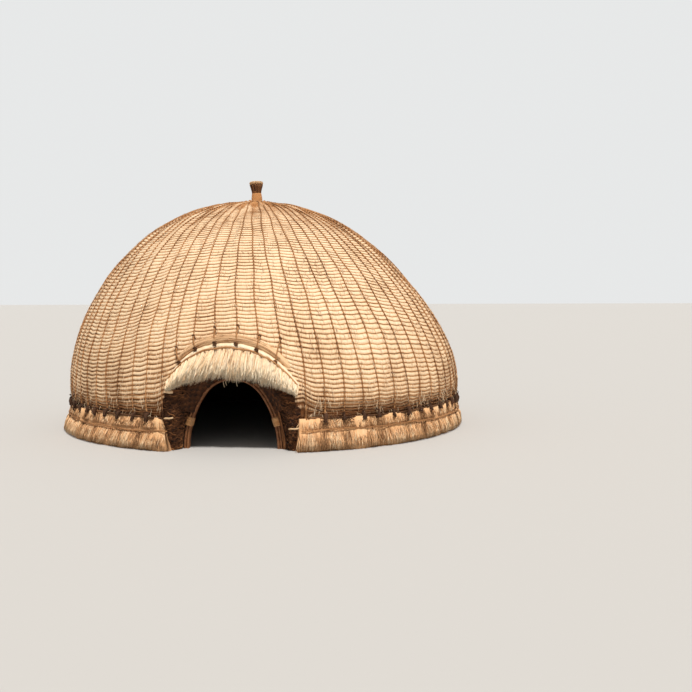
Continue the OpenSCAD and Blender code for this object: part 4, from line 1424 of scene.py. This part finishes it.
collar_low = crown_z + 0.004
collar_high = collar_low + collar_h - 0.006
collar_path = helix([0.064, 0.068, 0.066, 0.062, 0.058], collar_low, collar_high, 14, 420)
core_t = np.linspace(0, 1, 8)
core = on_finial(np.stack([0 * core_t, 0 * core_t, collar_low + core_t * collar_h], axis=-1))
collar_parts = tubes(collar_path[None], 0.0052, 6, straight_up, 0.55)
# The core shows dark between the cord's turns: painted shade.
collar_parts += tubes(core[None], np.linspace(0.063, 0.057, 8)[None], 24, to_right, 0.2)
collar = make_piece("finial_collar_cord", collar_parts, collar_cord)
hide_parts("finial_collar")

# %% The brush
brush_low = crown_z + collar_h - 0.004
stems = 420
stem_a = rng.uniform(0, 2 * math.pi, stems)
stem_ring = np.sqrt(rng.uniform(0.45, 1.0, stems))
stem_t = np.linspace(0, 1, 5)
stem_r = waist_r + (brush_r - waist_r) * stem_t[None] ** 1.4
stem_r = stem_r * stem_ring[:, None] + rng.normal(0, 0.0015, (stems, 1))
stem_z = brush_low + stem_t[None] * (brush_h + rng.uniform(-0.006, 0.012, stems)[:, None])
stem_turn = stem_a[:, None] + rng.normal(0, 0.05, stems)[:, None] * stem_t
stem_paths = on_finial(np.stack([stem_r * np.cos(stem_turn), stem_r * np.sin(stem_turn), stem_z], axis=-1))
stem_out = np.stack([np.cos(stem_a), np.sin(stem_a), 0 * stem_a], axis=-1)[:, None]
stem_tone = np.clip(rng.normal(0.45, 0.22, stems), 0, 1)[:, None]
brush_parts = tubes(stem_paths, rng.uniform(0.0025, 0.0042, (stems, 1)), 4, stem_out, stem_tone)
brush_core = on_finial(np.stack([0 * core_t, 0 * core_t, brush_low + core_t * brush_h], axis=-1))
# The core shows dark between the stems: painted shade.
brush_parts += tubes(brush_core[None], np.linspace(0.055, 0.078, 8)[None], 24, to_right, 0.1)
bind_path = helix([0.0575], brush_low + 0.012, brush_low + 0.026, 2.2, 80)
brush_parts += tubes(bind_path[None], 0.004, 5, straight_up, 0.9)
brush = make_piece("finial_brush_stems", brush_parts, brush_stem)
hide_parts("finial_brush")

# %% The pad
pad_low = crown_z + collar_h + brush_h - 0.002
pad_steps = [0, 0.15, 0.4, 0.62, 0.8, 1.0]
pad_radii = [0.058, 0.080, 0.0885, 0.082, 0.055, 0.002]
pad_heights = [0.0, 0.004, 0.020, 0.038, 0.046, 0.047]
pad_around = 72
pad_levels = 12
pad_turns = np.linspace(0, 2 * math.pi, pad_around + 1)[:-1]
pad_a, pad_t = np.meshgrid(pad_turns, np.linspace(0, 1, pad_levels))
pad_lump = 0.0018 * np.sin(pad_a * 23 + 5 * pad_t) + 0.0018 * np.sin(pad_a * 9 - 3 * pad_t)
pad_r = np.interp(pad_t, pad_steps, pad_radii) + pad_lump
pad_z = pad_low + np.interp(pad_t, pad_steps, pad_heights) + 0.6 * pad_lump
pad_points = on_finial(np.stack([pad_r * np.cos(pad_a), pad_r * np.sin(pad_a), pad_z], axis=-1))
pad_faces = grid_faces(pad_levels, pad_around, True)
pad_along = np.linspace(0, 0.55, pad_around + 1)
pad_grain = corner_grain(pad_along, np.linspace(0, 0.12, pad_levels), pad_levels, pad_around, True)
pad_ring = np.arange(pad_around)
pad_caps = np.stack([pad_ring[::-1], pad_ring + (pad_levels - 1) * pad_around])
# Painted shade: paler where the pad bulges, darker in its dips.
pad_parts = [(pad_points.reshape(-1, 3), pad_faces, (0.6 + 60 * pad_lump).reshape(-1), pad_grain),
             end_faces(pad_caps, pad_levels * pad_around)]
pad_stems = 260
pad_start = rng.uniform(0, 2 * math.pi, pad_stems)
pad_level = rng.uniform(0.05, 0.72, pad_stems)
pad_run = np.linspace(0, 1, 5)[None] * rng.uniform(0.3, 0.9, pad_stems)[:, None]
lay_a = pad_start[:, None] + pad_run
lay_r = np.interp(pad_level, pad_steps, pad_radii)[:, None] + 0.001
lay_z = np.interp(pad_level, pad_steps, pad_heights)[:, None] + pad_low
lay_z = lay_z + rng.normal(0, 0.002, (pad_stems, 1)) * np.linspace(-1, 1, 5)
pad_lay = on_finial(np.stack([lay_r * np.cos(lay_a), lay_r * np.sin(lay_a), lay_z], axis=-1))
pad_tone = np.clip(rng.normal(0.6, 0.25, (pad_stems, 1)), 0, 1)
pad_parts += tubes(pad_lay, 0.0016, 3, straight_up, pad_tone)
pad = make_piece("finial_pad_grass", pad_parts, pad_straw)
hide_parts("finial_pad")

# %% [markdown]
# ## Stray straws
# No coat of grass is combed flat. Single stems stand off the bulges, lie across a
# rope or stick out from under it, and they are what makes the surface read as grass
# from near by. Each is a thin bent blade, and they are thrown on by chance, more of
# them low down where they are brushed against.

# %% Straws over the coat
straw_count = 7600
straw_a = rng.uniform(0, 2 * math.pi, straw_count)
straw_q = net_top * (1 - np.sqrt(rng.uniform(0, 1, straw_count))) * 0.98 + 0.01
straw_len = rng.uniform(0.04, 0.13, straw_count)
straw_lean = rng.normal(0, 0.35, straw_count)
low_q = np.clip(straw_q - straw_len * np.cos(straw_lean), 0.0, net_top)
side_a = straw_len * np.sin(straw_lean) / np.maximum(section(straw_q)[0], least_net_r)
straw_root = net_point(straw_q, straw_a, 0.006)
straw_tip = net_point(low_q, straw_a + side_a, 0.012 + rng.uniform(0, 0.012, straw_count))
shown = ~(under_hood(straw_root) | under_hood(straw_tip))
straw_out = np.stack([np.sin(straw_a), -np.cos(straw_a), 0.4 + 0 * straw_a], axis=-1)[shown]
straw_width = rng.uniform(0.0012, 0.0026, straw_count)[shown]
straw_bow = rng.uniform(0.003, 0.012, straw_count)[shown]
straw_tone = np.clip(rng.normal(0.68, 0.26, straw_count), 0.2, 1.0)[shown]
straw_parts = blades(straw_root[shown], straw_tip[shown], straw_width, straw_out, straw_bow, straw_tone)
strays = make_piece("thatch_stray_straws", straw_parts, thatch_straw)

# %% [markdown]
# ## The saplings and their bark
# The doorway's arch is six peeled saplings, three deep and two round, tied at the foot with cord. Their
# solids already have the right shape, so they stay as they are and only get a finish. Wood differs from
# straw: long dark streaks, a few knots, and a little more shine. The frame inside is of very dark poles. A
# pole cut from a bush is never even, so those are swept again along the same curves, with a thickness that
# swells at the nodes and thins towards the tip. Beside the arch, thin stems are tucked into the wrappings
# and fan out above them.

# %% Bark and cord for the solids that stay
def bark(name, dark, middle, pale, scale=14.0, roughness=0.6):
    """A wood finish that needs no grain map: broad noise with fine noise on it."""
    material = bpy.data.materials.new(name)
    material.use_nodes = True
    tree = material.node_tree
    link = tree.links.new
    shader = tree.nodes["Principled BSDF"]
    shader.inputs["Roughness"].default_value = roughness
    shader.inputs["Specular IOR Level"].default_value = 0.35
    spot = node(tree, "ShaderNodeTexCoord")
    broad = node(tree, "ShaderNodeTexNoise")
    broad.inputs["Scale"].default_value = scale
    broad.inputs["Detail"].default_value = 6.0
    broad.inputs["Roughness"].default_value = 0.7
    broad.inputs["Distortion"].default_value = 1.2
    link(spot.outputs["Object"], broad.inputs["Vector"])
    fine = node(tree, "ShaderNodeTexNoise")
    fine.inputs["Scale"].default_value = scale * 9
    fine.inputs["Detail"].default_value = 2.0
    link(spot.outputs["Object"], fine.inputs["Vector"])
    both = node(tree, "ShaderNodeMath", operation="MULTIPLY_ADD")
    both.inputs[1].default_value = 0.45
    link(fine.outputs["Fac"], both.inputs[0])
    half = node(tree, "ShaderNodeMath", operation="MULTIPLY")
    half.inputs[1].default_value = 0.6
    link(broad.outputs["Fac"], half.inputs[0])
    link(half.outputs[0], both.inputs[2])
    ramp = node(tree, "ShaderNodeValToRGB")
    colour_stops(ramp, dark, middle, pale, (0.36, 0.52, 0.68))
    link(both.outputs[0], ramp.inputs["Fac"])
    link(ramp.outputs["Color"], shader.inputs["Base Color"])
    raised = node(tree, "ShaderNodeBump")
    raised.inputs["Distance"].default_value = 0.002
    link(both.outputs[0], raised.inputs["Height"])
    link(raised.outputs["Normal"], shader.inputs["Normal"])
    return material


tucked_stem = straw("tucked_stem", shade(52, 30, 18), shade(124, 78, 46), shade(176, 122, 78))
arch_bark = bark("arch_bark", shade(66, 38, 22), shade(124, 78, 46), shade(172, 118, 76))
frame_bark = bark("frame_bark", shade(24, 16, 12), shade(52, 36, 26), shade(92, 66, 46), scale=9.0,
                  roughness=0.7)
peg_wood = bark("peg_wood", shade(150, 116, 82), shade(206, 172, 130), shade(236, 208, 168), scale=20.0)
wrap_cord = bark("wrap_cord", shade(104, 70, 44), shade(168, 124, 84), shade(214, 172, 126), scale=60.0,
                 roughness=0.85)
finishes = {"door_arch": arch_bark, "door_arch_wraps": wrap_cord}
for name, material in finishes.items():
    solid = frame["nodes"][name]
    solid.data.materials.clear()
    solid.data.materials.append(material)
print("finished", len(finishes), "of the solids")

# %% The poles inside
pole_r = 0.017
hoop_r = 0.013
fit = 0.0003
pole_clear = 0.008
bend_arc = inner_r - pole_r - fit
bend_z = crown_z - thatch_t - fit - pole_r - bend_arc
hoop_bend = bend_arc - pole_r - fit - hoop_r
over_arch_z = door_h + 2 * 0.059
low_turn = -math.asin((bend_z - pole_clear) / bend_arc)
door_low_turn = math.asin((over_arch_z + pole_clear - bend_z) / bend_arc)
poles = 24
pole_parts = {"right": [], "left": []}
for index in range(poles):
    a0 = (index + 0.5) * 2 * math.pi / poles
    near_door = min(a0, 2 * math.pi - a0) < door_turn
    foot_at = door_low_turn if near_door else low_turn
    tip_at = math.radians(80 if index % 2 == 0 else 58)
    turn = np.linspace(foot_at, tip_at, 56)
    path = place(a0 + 0 * turn, bend_arc * np.cos(turn), bend_z + bend_arc * np.sin(turn))
    swell = 1 + 0.10 * np.sin(turn * 37 + index) ** 8 - 0.16 * ease((turn - low_turn) / 1.6)
    thick = pole_r * 0.99 * swell
    across = np.array([math.cos(a0), math.sin(a0), 0.0])
    side = "right" if index < poles / 2 else "left"
    pole_parts[side] += tubes(path[None], thick[None], 8, across, 0.5)
for side, parts in pole_parts.items():
    pole_set = make_piece("room_poles_" + side, parts, frame_bark)
    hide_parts("frame_saplings_" + side)

# %% The hoops inside
door_hoop = math.asin((over_arch_z + 0.028 - bend_z) / hoop_bend)
hoop_turns = [math.radians(1)] + list(np.linspace(door_hoop, math.radians(78), 7))
hoop_parts = []
for number, turn in enumerate(hoop_turns):
    gap = door_turn if number == 0 else 0.0
    a = np.linspace(gap, 2 * math.pi - gap, 150)
    ring = place(a, hoop_bend * math.cos(turn) + 0 * a, bend_z + hoop_bend * math.sin(turn) + 0 * a)
    thick = hoop_r * (0.98 - 0.08 * np.sin(a * 4.5) ** 6)
    hoop_parts += tubes(ring[None], thick[None], 7, straight_up, 0.45)
hoop_set = make_piece("room_hoops", hoop_parts, frame_bark)
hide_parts("frame_hoops")

# %% Cord turns on the wraps
wrap_z = 0.29
wrap_w = 0.085
wrap_turns = 11
arch_r = 0.014
arch_behind = 0.008
arch_y = jamb_back_y + fit + arch_behind + fit + arch_r
arch_step = 0.031
cord_over = 0.022
tucked_wide = {-1: 0.052, 1: 0.034}
cord_t = np.linspace(0, 2 * math.pi, 17)


def squared(wave):
    """A sine or cosine pushed out at its corners, as cord lies round a row of poles."""
    return np.sign(wave) * np.abs(wave) ** 0.55


cord_parts = []
for side in (-1, 1):
    middle_r = arch_side_arc + arch_r + arch_step / 2 + tucked_wide[side] / 2
    reach_r = (arch_step + tucked_wide[side]) / 2 + cord_over
    radius = middle_r + reach_r * squared(np.cos(cord_t))
    y = arch_y + arch_step + (arch_step + cord_over) * squared(np.sin(cord_t))
    for number in range(wrap_turns):
        along = (wrap_z - wrap_w / 2 + (number + 0.5) * wrap_w / wrap_turns) / arch_side_arc
        turn = along + 0.003 * np.sin(cord_t)
        x = side * (radius * np.cos(turn) - arch_side_x)
        path = np.stack([x, y, radius * np.sin(turn)], axis=-1)
        cord_parts += tubes(path[None], 0.0042, 5, straight_up, float(rng.uniform(0.3, 0.8)))
cords = make_piece("door_arch_cord", cord_parts, collar_cord)

# %% Stems tucked in beside the arch
reveal_slope = splay_slope - arch_shows / arch_shows_deep
stem_parts = []
for side, count in ((-1, 20), (1, 12)):
    for number in range(count):
        share = (number + 0.5) / count
        z = np.linspace(0.004, rng.uniform(0.34, 0.66), 12)
        fan = 1 + 1.6 * ease((z - wrap_z) / 0.35)
        away = 0.068 + share * tucked_wide[side] * fan + 0.003 * np.sin(z * 30 + number)
        x = np.sqrt((arch_side_arc + away) ** 2 - z ** 2) - arch_side_x
        on_reveal = jamb_back_y - np.maximum(away - jamb_back_off - arch_shows, 0) / reveal_slope
        y = np.minimum(arch_y + rng.uniform(-0.012, 0.045), on_reveal - 0.010)
        path = np.stack([side * x, y + 0 * z, z], axis=-1)
        thick = rng.uniform(0.005, 0.009) * np.linspace(1, 0.6, 12)
        tone = float(np.clip(rng.normal(0.55, 0.2), 0, 1))
        stem_parts += tubes(path[None], thick[None], 5, to_front, tone)
tucked = make_piece("door_arch_tucked_stems", stem_parts, tucked_stem)

# %% Pegs and hanging straws
peg_places = ((-0.705, -0.605, -2.425, 0.350), (0.620, 0.730, -2.445, 0.248))
peg_thick = np.array([[0.0075, 0.0095, 0.0092, 0.0098, 0.0094, 0.0078]])
peg_paths = []
for low_x, high_x, y, z in peg_places:
    t = np.linspace(0, 1, 6)
    x = low_x + t * (high_x - low_x) + lean_curve[0] * 0.3
    bent_y = y + 0.02 * (t - 0.5) ** 2
    peg_paths.append(np.stack([x, bent_y, z + 0.010 * t + 0.003 * np.sin(t * 7)], axis=-1))
peg_parts = tubes(np.array(peg_paths), peg_thick, 7, straight_up, 0.6)
pegs = make_piece("door_pegs_whittled", peg_parts, peg_wood)
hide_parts("door_pegs")

hang_y = -2.28
hang_top_z = 0.735
hanging = []
for x, low_z in ((-0.085, 0.672), (0.055, 0.680), (-0.06, 0.69)):
    t = np.linspace(0, 1, 5)
    z = hang_top_z + t * (low_z - hang_top_z)
    hanging.append(np.stack([x + 0.012 * t ** 2, hang_y + 0 * t, z], axis=-1))
loose = make_piece("door_loose_straws", tubes(np.array(hanging), 0.003, 4, to_front, 0.9), hood_straw)

# %% [markdown]
# ## Floor, light and camera
# The floor and backdrop are one plain pale sheet. The real hut stands in sunshine, so
# the key is a sun with soft edges, high in front and a little to the right, and the
# even light of the sky fills its shadows. A sun lights the far floor as much as the
# near floor, so that the floor runs into the backdrop without a dark horizon. The
# camera stands where the picture was taken from: eye height, a little right of the
# doorway, with a normal lens.

# %% The floor
floor_half = 300
floor_colour = (0.555, 0.542, 0.522, 1)
floor_corners = [(-floor_half, -floor_half, 0), (floor_half, -floor_half, 0),
                 (floor_half, floor_half, 0), (-floor_half, floor_half, 0)]
floor_mesh = bpy.data.meshes.new("floor")
floor_mesh.from_pydata(floor_corners, [], [(0, 1, 2, 3)])
floor = bpy.data.objects.new("floor", floor_mesh)
bpy.context.scene.collection.objects.link(floor)
floor_paint = bpy.data.materials.new("floor_paint")
floor_paint.use_nodes = True
floor_shader = floor_paint.node_tree.nodes["Principled BSDF"]
floor_shader.inputs["Base Color"].default_value = floor_colour
floor_shader.inputs["Roughness"].default_value = 0.95
floor_mesh.materials.append(floor_paint)
print("the floor reaches %d m each way" % floor_half)

# %% The light of the sky
world = bpy.data.worlds.new("soft_sky")
bpy.context.scene.world = world
world.use_nodes = True
link = world.node_tree.links.new
sky = world.node_tree.nodes["Background"]
sky.inputs["Color"].default_value = (1.0, 0.98, 0.95, 1)
sky.inputs["Strength"].default_value = 0.42
seen_sky = node(world.node_tree, "ShaderNodeBackground")
seen_sky.inputs["Color"].default_value = (0.80, 0.81, 0.81, 1)
ray = node(world.node_tree, "ShaderNodeLightPath")
glossy_too = node(world.node_tree, "ShaderNodeMath", operation="MAXIMUM")
link(ray.outputs["Is Camera Ray"], glossy_too.inputs[0])
link(ray.outputs["Is Glossy Ray"], glossy_too.inputs[1])
clear_too = node(world.node_tree, "ShaderNodeMath", operation="MAXIMUM")
link(glossy_too.outputs[0], clear_too.inputs[0])
link(ray.outputs["Is Transmission Ray"], clear_too.inputs[1])
both_skies = node(world.node_tree, "ShaderNodeMixShader")
link(clear_too.outputs[0], both_skies.inputs["Fac"])
link(sky.outputs["Background"], both_skies.inputs[1])
link(seen_sky.outputs["Background"], both_skies.inputs[2])
world_output = world.node_tree.nodes["World Output"]
link(both_skies.outputs["Shader"], world_output.inputs["Surface"])
print("sky: lights the hut at %.2f and is seen as a pale backdrop" % sky.inputs["Strength"].default_value)

# %% The sun
sun_away = 15
sun_from = math.radians(23)
sun_height = math.radians(60)
sun_data = bpy.data.lights.new("key", "SUN")
sun_data.energy = 3.3
sun_data.angle = math.radians(7)
sun_data.color = (1.0, 0.965, 0.92)
sun = bpy.data.objects.new("key", sun_data)
bpy.context.scene.collection.objects.link(sun)
sun_level = math.cos(sun_height)
towards_sun = Vector((math.sin(sun_from) * sun_level, -math.cos(sun_from) * sun_level, math.sin(sun_height)))
sun.location = towards_sun * sun_away
sun.rotation_euler = (-towards_sun).to_track_quat("-Z", "Y").to_euler()
bpy.context.scene.view_settings.view_transform = "Standard"
print("sun: %.0f degrees high, %.0f degrees to the right"
      % (math.degrees(sun_height), math.degrees(sun_from)))

# %% The camera
focal_px = 850.0
picture_px = 692
camera_data = bpy.data.cameras.new("eye")
camera_data.sensor_width = 36.0
camera_data.lens = focal_px / picture_px * camera_data.sensor_width
camera = bpy.data.objects.new("eye", camera_data)
bpy.context.scene.collection.objects.link(camera)
eye = Vector((1.725, -11.216, 1.6))
pitch = math.radians(3.12)
heading = math.radians(3.2)
roll_angle = math.radians(-0.16)
look = Vector((-math.sin(heading) * math.cos(pitch), math.cos(heading) * math.cos(pitch), -math.sin(pitch)))
camera.location = eye
camera.rotation_euler = look.to_track_quat("-Z", "Y").to_euler()
camera.rotation_euler.rotate_axis("Z", roll_angle)
bpy.context.scene.camera = camera
print("camera %.1f m from the hut's middle, lens %.1f mm" % (math.hypot(eye.x, eye.y), camera_data.lens))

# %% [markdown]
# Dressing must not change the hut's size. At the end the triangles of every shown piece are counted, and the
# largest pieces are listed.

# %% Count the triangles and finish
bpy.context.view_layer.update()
shown_faces = {}
for piece in bpy.data.objects:
    if piece.type == "MESH" and not piece.hide_render:
        shown_faces[piece.name] = sum(len(face.vertices) - 2 for face in piece.data.polygons)
print("%d triangles in %d pieces" % (sum(shown_faces.values()), len(shown_faces)))
print("most:", sorted(((count, name) for name, count in shown_faces.items()), reverse=True)[:8])
